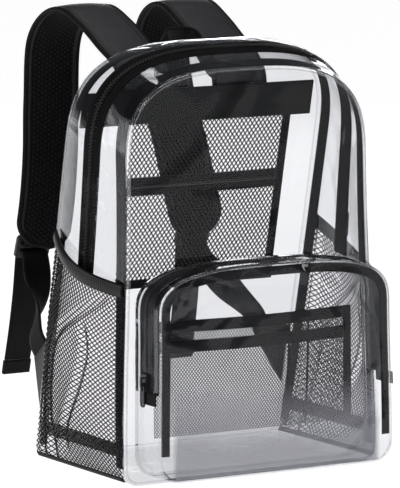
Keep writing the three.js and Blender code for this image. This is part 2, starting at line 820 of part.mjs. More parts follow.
for (const [word, side] of [['left', -1], ['right', 1]]) {
  const curve = strapCurve(side);
  add(`shoulder_pad_${word}`, strip(padStations(curve), paddedSection), nylon);

  const end = curve.getPointAt(1);
  const middle = end.clone().add(new THREE.Vector3(0, buckleStandoff, 0));
  const buckle = buckleGeometry();
  buckle.translate(middle.x, middle.y, middle.z);
  add(`ladder_buckle_${word}`, buckle, plastic);

  const upperSlot = middle.clone().addScaledVector(buckleDown, -slotPitch);
  const lowerSlot = middle.clone().addScaledVector(buckleDown, slotPitch);
  const at = (start, out, down) => start.clone()
    .addScaledVector(buckleOut, out).addScaledVector(buckleDown, down);
  const through = buckleThickness / 2 + 2 * gap;

  const onPad = (distance) => {
    const share = 1 - distance / curve.getLength();
    const along = curve.getTangentAt(share);
    const out = new THREE.Vector3().crossVectors(sideways, along).normalize();
    const lift = strapThickness / 2 + 3 * gap + webThickness / 2;
    return curve.getPointAt(share).addScaledVector(out, lift);
  };
  add(`buckle_keeper_${word}`, ribbon([
    onPad(keeperLength), onPad(keeperLength * 0.6), at(upperSlot, -2 * through, through / 2),
    at(upperSlot, -through, 0), at(upperSlot, through, 0),
  ], () => sideways, webWidth, webThickness, [0, 0.2, 0.4, 0.55, 0.7, 0.82, 1]), black);

  // The wing that anchors the webbing to the back seam
  const seamX = backBaseWidth / 2 - pipingRadius;
  const seamY = (z) => backPlane(z) + pipingRadius + gap;
  const outerX = side * (seamX - anchorInward);
  const low = new THREE.Vector3(side * seamX, seamY(anchorBottom), anchorBottom);
  const high = new THREE.Vector3(side * seamX, seamY(anchorTop), anchorTop);
  const rise = new THREE.Vector3(0, 0.62, 0.785); // way that the webbing leaves the wing
  const edge = new THREE.Vector3(0, -0.785, 0.62);
  const outer = new THREE.Vector3(outerX, seamY(anchorTop) + anchorReach, anchorTop - 8);
  const outerHigh = outer.clone().addScaledVector(edge, webWidth / 2);
  const outerLow = outer.clone().addScaledVector(edge, -webWidth / 2);
  add(`strap_anchor_${word}`, sheet([0, 1], [0, 1], (r, c) => {
    const inner = low.clone().lerp(high, r);
    return inner.lerp(outerLow.clone().lerp(outerHigh, r), c);
  }, -anchorThickness / 2, anchorThickness), black);

  // Webbing from the wing, half a turn across, up through the lower slot
  const start = outer.clone().addScaledVector(rise, 3 * gap);
  const turned = (share) => edge.clone().multiplyScalar(1 - smooth(0.1, 0.85, share))
    .addScaledVector(sideways, side * smooth(0.1, 0.85, share));
  add(`strap_webbing_${word}`, ribbon([
    start, start.clone().addScaledVector(rise, webWidth * 0.5),
    start.clone().lerp(at(lowerSlot, -5 * through, 4 * through), 0.62),
    at(lowerSlot, -5 * through, 4 * through), at(lowerSlot, -2 * through, through / 2),
    at(lowerSlot, -through, 0), at(lowerSlot, through, 0),
  ], turned, webWidth, webThickness, [...steps(0, 0.8, 9), 0.86, 0.9, 0.94, 0.965, 1]), black);

  // Free end of the webbing, with its folded and sewn tip
  const tailStart = at(lowerSlot, through + gap, 0);
  const hang = tailLength - tailFold;
  const tailAt = (share) => new THREE.Vector3(
    tailStart.x + side * 3 * share,
    tailStart.y + 5 + tailLean * share ** 1.6,
    tailStart.z - hang * share,
  );
  add(`strap_tail_${word}`, ribbon([
    tailStart, at(tailStart, webThickness, 0), at(tailStart, 2 * webThickness, webThickness),
    ...[0.1, 0.4, 0.7, 1].map(tailAt),
  ], () => sideways, webWidth, webThickness, [0, 0.015, 0.03, 0.06, 0.12, 0.3, 0.55, 0.8, 1]), black);
  const foldStart = tailAt(1).add(new THREE.Vector3(0, 0, -3 * gap));
  const foldEnd = foldStart.clone().add(new THREE.Vector3(
    0, (tailFold * tailLean * 1.6) / hang, -tailFold,
  ));
  add(`tail_fold_${word}`, ribbon(
    [foldStart, foldEnd], () => sideways, webWidth + 1, 2.4 * webThickness, [0, 1],
  ), black);
}

// Carrying loop, sewn to the back sheet between the straps
const loopAcross = new THREE.Vector3(0, -0.68, 0.73);
const upright = new THREE.Vector3(
  0, backSkin(0, handleRoot + 1) - backSkin(0, handleRoot - 1), 2,
).normalize();

function loopPoint(x, back, up) {
  const root = backSkin(handleSpan / 2, handleRoot) + gap;
  return new THREE.Vector3(
    x,
    THREE.MathUtils.lerp(root, handleReach, back),
    THREE.MathUtils.lerp(handleRoot, handleTop, up),
  );
}

const offSheet = new THREE.Vector3(0, upright.z, -upright.y);
const loopRoot = loopPoint(-handleSpan / 2, 0, 0);
const loopHalf = [
  loopRoot, loopRoot.clone().addScaledVector(offSheet, 2 * handleThickness),
  loopRoot.clone().addScaledVector(offSheet, 4 * handleThickness),
  loopPoint(-handleSpan / 2, 0.6, 0.5), loopPoint(-handleSpan * 0.45, 0.9, 0.9),
  loopPoint(-handleSpan * 0.3, 1, 1),
];
const mirrored = loopHalf.map((p) => new THREE.Vector3(-p.x, p.y, p.z)).reverse();
add('carry_loop', ribbon([...loopHalf, ...mirrored], (share) => {
  const turn = smooth(0.02, 0.25, Math.min(share, 1 - share));
  return upright.clone().lerp(loopAcross, turn);
}, handleWidth, handleThickness, steps(0, 1, 24)), black);

// Sliders. In their own frame X is across the zip, Y along it and Z out of the tape.
const coilTop = gap + coilHeight;
const plateBottom = coilTop + gap;
const plateTop = plateBottom + sliderPlate;
const pullAxis = plateTop + pullEye / 2;

function block(sizeX, sizeY, sizeZ, x, y, z) {
  const box = new THREE.BoxGeometry(sizeX, sizeY, sizeZ);
  return box.translate(x, y, z);
}

function bridgeGeometry() {
  const height = pullEye + bridgeWire;
  const shape = rectanglePath(new THREE.Shape(), 0, height / 2, bridgeLength, height);
  const eye = bridgeLength - 2 * bridgeWire;
  shape.holes.push(rectanglePath(new THREE.Path(), 0, pullEye / 2, eye, pullEye - 2 * gap));
  const bridge = new THREE.ExtrudeGeometry(shape, { depth: bridgeWidth, bevelEnabled: false });
  bridge.translate(0, 0, -bridgeWidth / 2);
  bridge.rotateX(Math.PI / 2);
  bridge.rotateZ(Math.PI / 2);
  return bridge.translate(0, 0, plateTop - gap);
}

function sliderGeometry(coil, sliders, extra) {
  const inner = coil / 2 + sliderSideClearance;
  const cheek = sliderWidth / 2 - inner;
  const drop = plateBottom - gap;
  const pieces = [];
  for (const y of sliders) {
    pieces.push(block(sliderWidth, sliderLength, sliderPlate, 0, y, plateBottom + sliderPlate / 2));
    for (const side of [-1, 1]) {
      pieces.push(block(
        cheek, sliderLength, drop + sliderPlate / 2, side * (inner + cheek / 2), y,
        gap + (drop + sliderPlate / 2) / 2,
      ));
    }
  }
  return joined([...pieces, ...extra]);
}

// A zip on the side of the bag, where X of the frame points forward and Z outward.
function zipFrame(place, outward, along) {
  const across = new THREE.Vector3().crossVectors(along, outward);
  return new THREE.Matrix4().makeBasis(across, along, outward).setPosition(place);
}

const sliderHeight = pocketZipEnd + pocketSliderRise;
const sliderShare = 1 - shareAtHeight(sliderHeight, pocketArch);
const zipPlacePocket = pocketSkin(sliderShare, pocketZipPlace);
const pocketFrame = zipFrame(
  zipPlacePocket, new THREE.Vector3(-1, 0, 0), new THREE.Vector3(0, 0, 1),
);
add('pocket_slider', sliderGeometry(pocketCoilWidth, [0], [bridgeGeometry()])
  .applyMatrix4(pocketFrame), metal);

// The pull hangs with its bar just above the lower leg of the bridge.
const axisDrop = bridgeLength / 2 - bridgeWire - pullBar / 2 - pullClearance;

function pullGeometry() {
  const shape = chamferedPlate(pullWidth, pullLength, pullWidth / 4);
  const top = pullLength / 2 - pullBar;
  const slotWidth = bridgeWidth + 2 * pullClearance;
  shape.holes.push(rectanglePath(new THREE.Path(), 0, top - pullSlot / 2, slotWidth, pullSlot));
  const ringMiddle = -pullLength / 2 + 1.1 * pullBar + pullRingOpening / 2;
  const ring = new THREE.Path();
  ring.absarc(0, ringMiddle, pullRingOpening / 2, 0, 2 * Math.PI, true);
  shape.holes.push(ring);
  const plate = new THREE.ExtrudeGeometry(shape, {
    depth: pullBar, bevelEnabled: false, curveSegments: 5,
  });
  return plate.translate(0, pullBar / 2 - pullLength / 2 - axisDrop, pullAxis - gap - pullBar / 2);
}

add('pocket_pull', pullGeometry().applyMatrix4(pocketFrame), metal);

// The zip's lower ends are finished with a folded cloth tab on the front strip.
const tabLow = shareAtHeight(pocketZipEnd - endTabHeight + 2, pocketArch);
const tabHigh = shareAtHeight(pocketZipEnd + 2, pocketArch);
for (const [word, from, to] of [
  ['left', 1 - tabHigh, 1 - tabLow], ['right', tabLow, tabHigh],
]) {
  add(`zip_end_tab_${word}`, pocketBand(
    [from, to], pocketFrontSeam, pocketFrontSeam + endTabReach / pocketDepth, 1,
    -coilTop - gap - trim, trim,
  ), black);
}

// Two sliders of the main zip meet on the right side.
const mainShare = shareAtHeight(mainSliderHeight, frontArch);
const mainPlace = bodySkin(mainShare, zipPlace);
const mainAlong = bodySkin(mainShare + 0.01, zipPlace).sub(bodySkin(mainShare - 0.01, zipPlace));
const mainAcross = bodySkin(mainShare, zipPlace + 0.05).sub(bodySkin(mainShare, zipPlace - 0.05));
mainAlong.normalize();
const mainOutward = mainAcross.cross(mainAlong).normalize();
const hanging = block(
  pullWidth, pullLength, pullBar, 0, -mainSliderSpacing / 2 - pullLength / 2, plateTop + pullBar,
);
const pegs = [-1, 1].map((end) => block(
  bridgeWidth, bridgeLength, pullBar, 0, (end * mainSliderSpacing) / 2, plateTop + pullBar / 2 - gap,
));
add('main_sliders', sliderGeometry(
  coilWidth, [-mainSliderSpacing / 2, mainSliderSpacing / 2],
  [block(sliderWidth / 2, mainSliderSpacing, sliderPlate, 0, 0, plateBottom + sliderPlate / 2),
    ...pegs, hanging],
).applyMatrix4(zipFrame(mainPlace, mainOutward, mainAlong)), metal);

export default group;
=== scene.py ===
import math
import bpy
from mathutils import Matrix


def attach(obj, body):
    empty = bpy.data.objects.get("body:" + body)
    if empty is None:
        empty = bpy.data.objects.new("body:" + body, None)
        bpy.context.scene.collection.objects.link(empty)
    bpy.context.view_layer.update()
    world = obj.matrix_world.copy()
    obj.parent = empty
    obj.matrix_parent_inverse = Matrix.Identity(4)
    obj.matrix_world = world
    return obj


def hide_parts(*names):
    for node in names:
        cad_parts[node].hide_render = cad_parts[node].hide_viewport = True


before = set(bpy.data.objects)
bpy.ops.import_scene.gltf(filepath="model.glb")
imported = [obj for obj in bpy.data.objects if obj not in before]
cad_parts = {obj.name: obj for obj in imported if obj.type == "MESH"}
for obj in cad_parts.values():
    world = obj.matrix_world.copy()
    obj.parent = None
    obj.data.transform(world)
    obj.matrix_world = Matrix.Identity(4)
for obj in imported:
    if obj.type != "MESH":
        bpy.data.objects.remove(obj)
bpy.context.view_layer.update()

from types import SimpleNamespace

import bmesh
import bpy
import numpy as np
from mathutils import Matrix, Vector

# The looks of a clear stadium backpack. Metres, +X right seen from the front, the front faces -Y.

MM = 0.001

# Bag body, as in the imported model
BAG_HEIGHT = 430 * MM
FRONT_HEIGHT = 408 * MM
BASE_DEPTH = 186 * MM
TOP_DEPTH = 82 * MM
FRONT_LEAN = 11 * MM
SIDE_BULGE = 6 * MM
TOP_BULGE = 5.5 * MM
PANEL_CROWN = 5 * MM
PIPING = 2 * MM
BINDING_WIDTH = 14 * MM
BINDING_SETBACK = 5 * MM
BINDING_START = 17 * MM
SHEET = 0.5 * MM
CLOTH = 0.8 * MM
INSIDE = 1.7 * MM  # outside of a clear sheet to what lies against its inner face

# Main zip
ZIP_PLACE = 0.5
ZIP_TAPE = 26 * MM
ZIP_END = 196 * MM
TOOTH_PITCH = 1.7 * MM

# Front pocket
POCKET_DEPTH = 48 * MM
POCKET_CROWN = 7 * MM
POCKET_PIPING = 1.6 * MM
POCKET_TAPE = 26 * MM
POCKET_ZIP_END = 96 * MM
POCKET_BINDING = 12 * MM
FACING_WIDTH = 9 * MM
FACING_START = 36 * MM

# Stations of an outline, as shares of its half
CORNER, SIDE, SHOULDER = 0.16, 0.22, 0.62

FRONT = SimpleNamespace(
    base=296 * MM, waist=279 * MM, height=FRONT_HEIGHT, corner=16 * MM, shoulder=100 * MM,
    power=3.0, foot=0.0)
BACK = SimpleNamespace(
    base=292 * MM, waist=297 * MM, height=BAG_HEIGHT, corner=16 * MM, shoulder=100 * MM,
    power=3.0, foot=0.0)
POCKET = SimpleNamespace(
    base=272 * MM, waist=268 * MM, height=210 * MM, corner=22 * MM, shoulder=52 * MM,
    power=3.2, foot=9 * MM)


# Camera of the photograph: far off, in front and to the left, a little above

CAMERA_AZIMUTH = math.radians(-31.0)
CAMERA_ELEVATION = math.radians(7.8)
CAMERA_DISTANCE = 5.0
FOCAL_PIXELS, IMAGE_HEIGHT = 4950.0, 488.0
SENSOR_MM = 36.0
AIM_HEIGHT, AIM_LEFT, AIM_UP = 215 * MM, 4.4 * MM, 5.9 * MM


def link(thing):
    bpy.context.scene.collection.objects.link(thing)
    return thing


def make_camera():
    """A long lens aimed so that the middle of the bag falls where the photograph has it."""
    level = math.cos(CAMERA_ELEVATION)
    back = Vector((math.sin(CAMERA_AZIMUTH) * level, -math.cos(CAMERA_AZIMUTH) * level,
                   math.sin(CAMERA_ELEVATION)))
    right = Vector((math.cos(CAMERA_AZIMUTH), math.sin(CAMERA_AZIMUTH), 0.0))
    up = back.cross(right)
    aim = Vector((0.0, 0.0, AIM_HEIGHT)) - right * AIM_LEFT + up * AIM_UP
    data = bpy.data.cameras.new("camera")
    data.sensor_width = SENSOR_MM
    data.lens = SENSOR_MM * FOCAL_PIXELS / IMAGE_HEIGHT
    data.clip_end = 60.0
    camera = link(bpy.data.objects.new("camera", data))
    turned = Matrix((right, up, back)).transposed().to_4x4()
    camera.matrix_world = Matrix.Translation(aim + back * CAMERA_DISTANCE) @ turned
    bpy.context.scene.camera = camera


# Materials

class Term:
    """A node's output socket whose operators add Math nodes."""

    def __init__(self, net, socket):
        self.net = net
        self.socket = socket

    def math(self, operation, *others):
        return self.net.add("ShaderNodeMath", dict(enumerate((self, *others))), operation=operation)

    def __add__(self, other):
        return self.math("ADD", other)

    def __sub__(self, other):
        return self.math("SUBTRACT", other)

    def __mul__(self, other):
        return self.math("MULTIPLY", other)

    def __truediv__(self, other):
        return self.math("DIVIDE", other)

    def __pow__(self, other):
        return self.math("POWER", other)

    def waved(self, function, pitch):
        """A sine or cosine that repeats at a pitch."""
        return (self * (math.tau / pitch)).math(function)

    def clamped(self):
        return self.net.add("ShaderNodeClamp", {0: self})

    def parts(self):
        """The three parts of a vector."""
        split = self.net.add("ShaderNodeSeparateXYZ", {0: self}).socket.node
        return [Term(self.net, output) for output in split.outputs]


class Net:
    """The node tree of one material."""

    def __init__(self, name):
        self.material = bpy.data.materials.new(name)
        self.material.use_nodes = True
        self.tree = self.material.node_tree
        self.tree.nodes.clear()

    def add(self, kind, inputs=None, output=0, **settings):
        """One node of a type: its settings first, then the values or links of its sockets."""
        node = self.tree.nodes.new(kind)
        for key, value in settings.items():
            setattr(node, key, value)
        for key, value in (inputs or {}).items():
            socket = node.inputs[key]
            if isinstance(value, Term):
                self.tree.links.new(value.socket, socket)
            elif isinstance(value, tuple) and len(value) == 3 and socket.type == "RGBA":
                socket.default_value = (*value, 1.0)
            else:
                socket.default_value = value
        return Term(self, node.outputs[output])

    def place(self):
        return self.add("ShaderNodeTexCoord", output=3)

    def along(self):
        """The piece's own UV map, in metres across and along the cloth."""
        return self.add("ShaderNodeTexCoord", output=2).parts()[:2]

    def noise(self, where, scale, detail=2.0):
        return self.add("ShaderNodeTexNoise", {"Vector": where, "Scale": scale, "Detail": detail})

    def mix(self, factor, first, second):
        return self.add("ShaderNodeMix", {0: factor, 6: first, 7: second}, 2, data_type="RGBA")

    def mix_shaders(self, factor, first, second):
        return self.add("ShaderNodeMixShader", {0: factor, 1: first, 2: second})

    def bump(self, height, distance, strength=1.0):
        return self.add("ShaderNodeBump", {
            "Strength": strength, "Distance": distance, "Height": height})

    def principled(self, **values):
        inputs = {key.replace("_", " "): value for key, value in values.items()}
        return self.add("ShaderNodeBsdfPrincipled", inputs)

    def finish(self, shader):
        output = self.tree.nodes.new("ShaderNodeOutputMaterial")
        self.tree.links.new(shader.socket, output.inputs["Surface"])
        return self.material


MIRROR = (0.95, 0.96, 0.98)
BROAD_WAVE, FINE_WAVE, FINE_SHARE = 14.0, 60.0, 0.12
LYING, RAISED = 4 * MM, 20 * MM  # a sheet below the first height lies on the floor
LYING_SHARE = 0.15
# Painted reflection low on the pocket face: a grey film that stands in for the reflection of the
# surroundings, with its colour, where it ends short of the sides, its fades and how much its top edge
# wanders
PAINTED_REFLECTION_COLOUR = (0.30, 0.30, 0.345)
PAINTED_REFLECTION_SIDE = 121 * MM
PAINTED_REFLECTION_SIDE_FADE = 6 * MM
PAINTED_REFLECTION_FADE = 60 * MM
PAINTED_REFLECTION_WANDER = 11.0


def mirrored(net, normal, head_on, glancing):
    """Share of light that a face reflects: Schlick's form, the same from inside and outside."""
    away = net.add("ShaderNodeLayerWeight", {"Blend": 0.5, "Normal": normal}, "Facing")
    return (away ** 5.0) * glancing + head_on


def clear_vinyl(name, tint, head_on, glancing, wave, painted_reflection=None):
    """Clear soft sheet: see-through, mirror-like at a glancing angle, softly wavy, and hardly
    mirror-like where it lies on the floor. The last argument is the height up to which a grey
    painted reflection lies over the sheet, how far that edge wanders, and how strong it is. The
    painted reflection ends short of the sides."""
    net = Net(name)
    where = net.place()
    height = net.noise(where, BROAD_WAVE, 1.0) + net.noise(where, FINE_WAVE) * FINE_SHARE
    normal = net.bump(height, wave)
    seen = net.add("ShaderNodeBsdfTransparent", {"Color": tint})
    gloss = net.principled(Base_Color=MIRROR, Metallic=1.0, Roughness=0.05, Normal=normal)
    sideways, _, level = where.parts()
    raised = ((level - LYING) / (RAISED - LYING)).clamped() * (1 - LYING_SHARE) + LYING_SHARE
    factor = (mirrored(net, normal, head_on, glancing) * raised).clamped()
    surface = net.mix_shaders(factor, seen, gloss)
    # Painted reflection: a grey film mixed over the sheet below a wandering edge, short of the sides
    if painted_reflection:
        top, wander, strength = painted_reflection
        edge = net.noise(where, PAINTED_REFLECTION_WANDER, 1.5) * (2 * wander) + (top - wander)
        beside = ((sideways.math("ABSOLUTE") - PAINTED_REFLECTION_SIDE) / -PAINTED_REFLECTION_SIDE_FADE).clamped()
        painted_reflection_share = ((edge - level) / PAINTED_REFLECTION_FADE).clamped() * beside * strength
        painted_reflection_film = net.principled(Base_Color=PAINTED_REFLECTION_COLOUR, Roughness=0.4)
        surface = net.mix_shaders(painted_reflection_share, surface, painted_reflection_film)
    return net.finish(surface)


def woven(name, dark, light, pitch, rough, depth=0.12 * MM, sheen=0.0, shine=0.2):
    """Plain weave: ribs across and along the UV map, a little mottled."""
    net = Net(name)
    across, along = net.along()
    ribs = across.waved("SINE", pitch) * along.waved("SINE", pitch)
    tone = (ribs * 0.2 + net.noise(net.place(), 90.0, 3.0)).clamped()
    return net.finish(net.principled(
        Base_Color=net.mix(tone, dark, light), Roughness=rough, Specular_IOR_Level=shine,
        Sheen_Weight=sheen, Normal=net.bump(ribs, depth, 0.7)))


def grosgrain(name, pitch, rough, coat=0.0):
    """Ribbed black tape: ribs across its length, which the second UV axis measures."""
    net = Net(name)
    across, along = net.along()
    ribs = along.waved("SINE", pitch) * 0.5 + 0.5
    weave = across.waved("SINE", pitch * 0.8) * 0.12
    tone = (ribs * 0.35 + net.noise(net.place(), 70.0, 3.0) * 0.6).clamped()
    return net.finish(net.principled(
        Base_Color=net.mix(tone, (0.0015, 0.0015, 0.002), (0.008, 0.008, 0.009)), Roughness=rough,
        Coat_Weight=coat, Coat_Roughness=0.2, Specular_IOR_Level=0.12,
        Normal=net.bump(ribs + weave, 0.14 * MM, 0.8)))


def spacer_mesh(name, pitch):
    """Padded air mesh: dark dimples on a close hexagonal pitch over black foam, which is the
    sum of three cosines at 60 degrees to one another."""
    net = Net(name)
    across, along = net.along()
    halfway = across * (math.pi / pitch)
    slope = along * (math.tau * 0.866 / pitch)
    cells = (across.waved("COSINE", pitch) + (halfway + slope).math("COSINE")
             + (halfway - slope).math("COSINE")) / 3.0
    height = cells + net.noise(net.place(), 260.0) * 0.25
    tone = (cells * 0.9 + 0.4).clamped()
    return net.finish(net.principled(
        Base_Color=net.mix(tone, (0.0015, 0.0015, 0.0018), (0.011, 0.011, 0.012)), Roughness=0.75,
        Specular_IOR_Level=0.12, Normal=net.bump(height, 0.9 * MM, 0.8)))


def moulded(name, colour, rough, metallic=0.0):
    """Moulded plastic or enamelled metal with a fine grain."""
    net = Net(name)
    grain = net.noise(net.place(), 700.0)
    return net.finish(net.principled(
        Base_Color=colour, Roughness=grain * 0.15 + (rough - 0.07), Metallic=metallic,
        Normal=net.bump(grain, 0.05 * MM, 0.5)))


def strand(name):
    """Knitted thread of the nets, with a soft shine."""
    net = Net(name)
    colour = net.mix(net.noise(net.place(), 400.0), (0.002, 0.002, 0.0025), (0.012, 0.012, 0.013))
    return net.finish(net.principled(Base_Color=colour, Roughness=0.5, Specular_IOR_Level=0.2))


CLEAR = (0.945, 0.946, 0.952)
VINYL = clear_vinyl("clear_vinyl", CLEAR, 0.010, 1.3, 1.6 * MM)
# The pocket face carries a grey painted reflection up to about 98 mm
VINYL_FACE = clear_vinyl("clear_pocket_face", CLEAR, 0.014, 1.3, 2.0 * MM, (98 * MM, 20 * MM, 0.48))
VINYL_WELT = clear_vinyl("clear_welt", (0.93, 0.932, 0.94), 0.08, 2.0, 0.4 * MM)
VINYL_BASE = clear_vinyl("clear_base", (0.95, 0.952, 0.958), 0.02, 0.4, 1.2 * MM)
ZIP_CLOTH = woven("zip_cloth", (0.003, 0.003, 0.0035), (0.010, 0.010, 0.011), 1.0 * MM, 0.5, shine=0.04)
SMOKE_CLOTH = woven("smoke_cloth", (0.008, 0.008, 0.009), (0.03, 0.03, 0.033), 1.1 * MM, 0.35)
INNER_CLOTH = woven("inner_cloth", (0.0015, 0.0015, 0.0018), (0.006, 0.006, 0.007), 1.2 * MM, 0.55)
BINDING = grosgrain("binding", 1.3 * MM, 0.6)
ELASTIC = grosgrain("elastic", 2.6 * MM, 0.4, 0.3)
WEBBING = grosgrain("webbing", 1.7 * MM, 0.6)
NYLON = woven("nylon", (0.014, 0.014, 0.016), (0.034, 0.034, 0.038), 0.9 * MM, 0.5, 0.06 * MM, 0.04)
AIR_MESH = spacer_mesh("air_mesh", 4.2 * MM)
NET = strand("net_thread")
THREAD = strand("sewing_thread")
COIL = moulded("zip_coil", (0.010, 0.010, 0.011), 0.35)
PLASTIC = moulded("buckle_plastic", (0.008, 0.008, 0.009), 0.42)
METAL = moulded("dark_metal", (0.05, 0.05, 0.055), 0.3, 0.8)


# Meshes

AHEAD = np.array([0.0, 1.0, 0.0])
RIGHT = np.array([1.0, 0.0, 0.0])


def mesh_piece(name, points, faces, finishes, uv=None, which=None):
    """A new mesh from arrays: points, faces with the same number of corners, UV per point."""
    points = np.asarray(points, dtype=np.float64).reshape(-1, 3)
    faces = np.asarray(faces, dtype=np.int32)
    mesh = bpy.data.meshes.new(name)
    mesh.vertices.add(len(points))
    mesh.vertices.foreach_set("co", points.astype(np.float32).ravel())
    mesh.loops.add(faces.size)
    mesh.loops.foreach_set("vertex_index", faces.ravel())
    mesh.polygons.add(len(faces))
    starts = np.arange(0, faces.size, faces.shape[1], dtype=np.int32)
    mesh.polygons.foreach_set("loop_start", starts)
    mesh.polygons.foreach_set("use_smooth", np.ones(len(faces), dtype=bool))
    if uv is not None:
        layer = mesh.uv_layers.new(name="uv")
        layer.data.foreach_set("uv", np.asarray(uv, dtype=np.float32)[faces.ravel()].ravel())
    for finish in finishes:
        mesh.materials.append(finish)
    if which is not None:
        mesh.polygons.foreach_set("material_index", np.asarray(which, dtype=np.int32))
    mesh.update(calc_edges=True)
    mesh.validate()
    return link(bpy.data.objects.new(name, mesh))


def dress(piece, slot, *nodes):
    """Says that a piece rides on the bag, and the nodes it stands for. slot is not used."""
    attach(piece, "root")
    if nodes:
        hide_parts(*nodes)


def outward(points, faces):
    """Faces turned so that the closed mesh has a positive volume."""
    a, b, c = (points[faces[:, k]] for k in range(3))
    volume = np.einsum("ij,ij->i", a, np.cross(b, c)).sum()
    if faces.shape[1] == 4:
        d = points[faces[:, 3]]
        volume += np.einsum("ij,ij->i", a, np.cross(c, d)).sum()
    return faces if volume > 0 else faces[:, ::-1]


def grid_faces(rows, columns, ring=False):
    """Quads of a grid of points, closed round its columns if it is a ring."""
    i, j = np.meshgrid(np.arange(rows - 1), np.arange(columns if ring else columns - 1),
                       indexing="ij")
    k = (j + 1) % columns
    return np.stack([i * columns + j, i * columns + k, (i + 1) * columns + k,
                     (i + 1) * columns + j], axis=-1).reshape(-1, 4)


def unit(vectors):
    return vectors / np.maximum(np.linalg.norm(vectors, axis=-1, keepdims=True), 1e-12)


def stacked(x, y, z):
    return np.stack([x, y, z], axis=-1)


def grid_normals(grid):
    """Column direction crossed with row direction, point by point."""
    return unit(np.cross(np.gradient(grid, axis=1), np.gradient(grid, axis=0)))


def distances(path):
    """How far along a path each of its points lies."""
    return np.concatenate([[0], np.cumsum(np.linalg.norm(np.diff(path, axis=0), axis=-1))])


def read_at(at, length, values):
    """Rows of values, read at distances along their path."""
    return np.stack([np.interp(at, length, column) for column in values.T], axis=-1)


def run_lengths(grid):
    """Mean distance along the rows and along the columns of a grid, for its UV map."""
    down = np.linalg.norm(np.diff(grid, axis=0), axis=-1).mean(axis=1)
    across = np.linalg.norm(np.diff(grid, axis=1), axis=-1).mean(axis=0)
    return np.concatenate([[0], np.cumsum(down)]), np.concatenate([[0], np.cumsum(across)])


def cloth_map(down, across):
    """UV of each point of a grid: its distance across the cloth, then along it."""
    v, u = np.meshgrid(down, across, indexing="ij")
    return np.stack([u.ravel(), v.ravel()], axis=-1)


def thick_sheet(name, grid, thickness, finish, inset=0.0):
    """A closed sheet: the grid, a second layer along its normal, and a rim between them."""
    rows, columns = grid.shape[:2]
    normal = grid_normals(grid)
    top = grid - normal * inset
    bottom = top - normal * thickness
    points = np.concatenate([top.reshape(-1, 3), bottom.reshape(-1, 3)])
    count = rows * columns
    face = grid_faces(rows, columns)
    edge = np.concatenate([
        np.arange(columns), np.arange(1, rows) * columns + columns - 1,
        (rows - 1) * columns + np.arange(columns - 2, -1, -1),
        np.arange(rows - 2, 0, -1) * columns])
    after = np.roll(edge, -1)
    rim = np.stack([edge, edge + count, after + count, after], axis=-1)
    faces = outward(points, np.concatenate([face, face[:, ::-1] + count, rim]))
    uv = cloth_map(*run_lengths(grid))
    return mesh_piece(name, points, faces, [finish], np.concatenate([uv, uv]))


def vinyl_sheet(name, grid, node, finish=VINYL):
    dress(thick_sheet(name, grid, SHEET, finish), "clear_vinyl", node)


def binding(name, grid, *nodes, thickness=CLOTH, inset=0.0):
    dress(thick_sheet(name, grid, thickness, BINDING, inset), "black_binding", *nodes)


def tube(name, path, sides, radius, finish, out, flatten=1.0, ring=False):
    """A round or flattened section carried along a path, capped with a fan unless it is a ring."""
    if ring:
        along = unit(np.roll(path, -1, axis=0) - np.roll(path, 1, axis=0))
    else:
        along = unit(np.gradient(path, axis=0))
    first = unit(np.cross(along, out))
    second = np.cross(first, along)
    turn = np.linspace(0, math.tau, sides, endpoint=False)
    grid = path[:, None] + radius * (first[:, None] * np.cos(turn)[None, :, None]
                                     + second[:, None] * np.sin(turn)[None, :, None] * flatten)
    points = grid.reshape(-1, 3)
    count = len(path)
    length = distances(path)
    uv = cloth_map(length, turn * radius)
    if ring:
        face = grid_faces(count + 1, sides, ring=True) % (count * sides)
        return mesh_piece(name, points, outward(points, face), [finish], uv)
    here = np.arange(sides)
    after = (here + 1) % sides
    last = (count - 1) * sides
    middle = np.full(sides, count * sides)
    caps = np.concatenate([np.stack([middle, after, here], axis=-1),
                           np.stack([middle + 1, last + here, last + after], axis=-1)])
    points = np.concatenate([points, path[[0, -1]]])
    face = grid_faces(count, sides, ring=True)
    quads = outward(points, face)
    if not np.array_equal(quads, face):
        caps = caps[:, ::-1]
    split = np.concatenate([quads[:, [0, 1, 2]], quads[:, [0, 2, 3]], caps])
    uv = np.concatenate([uv, [[0, 0], [0, length[-1]]]])
    return mesh_piece(name, points, split, [finish], uv)


def scattered(name, base, base_faces, frames, finish):
    """Copies of one small shape, one in each frame of an array of 4x4 matrices."""
    spots = np.einsum("fij,pj->fpi", frames[:, :3, :3], base) + frames[:, None, :3, 3]
    steps = (np.arange(len(frames)) * len(base))[:, None, None]
    faces = (base_faces[None] + steps).reshape(-1, base_faces.shape[1])
    return mesh_piece(name, spots.reshape(-1, 3), faces, [finish])


def frames_on(path, out, spacing):
    """Frames at even spacing along a path: X across, Y along, Z outward."""
    length = distances(path)
    count = max(int(length[-1] / spacing), 1)
    at = (np.arange(count) + 0.5) * length[-1] / count
    step = spacing * 0.3
    along = unit(read_at(at + step, length, path) - read_at(at - step, length, path))
    across = unit(np.cross(along, read_at(at, length, np.broadcast_to(out, path.shape))))
    frames = np.zeros((count, 4, 4))
    frames[:, :3, 0], frames[:, :3, 1], frames[:, :3, 2] = across, along, np.cross(across, along)
    frames[:, :3, 3] = read_at(at, length, path)
    frames[:, 3, 3] = 1
    return frames


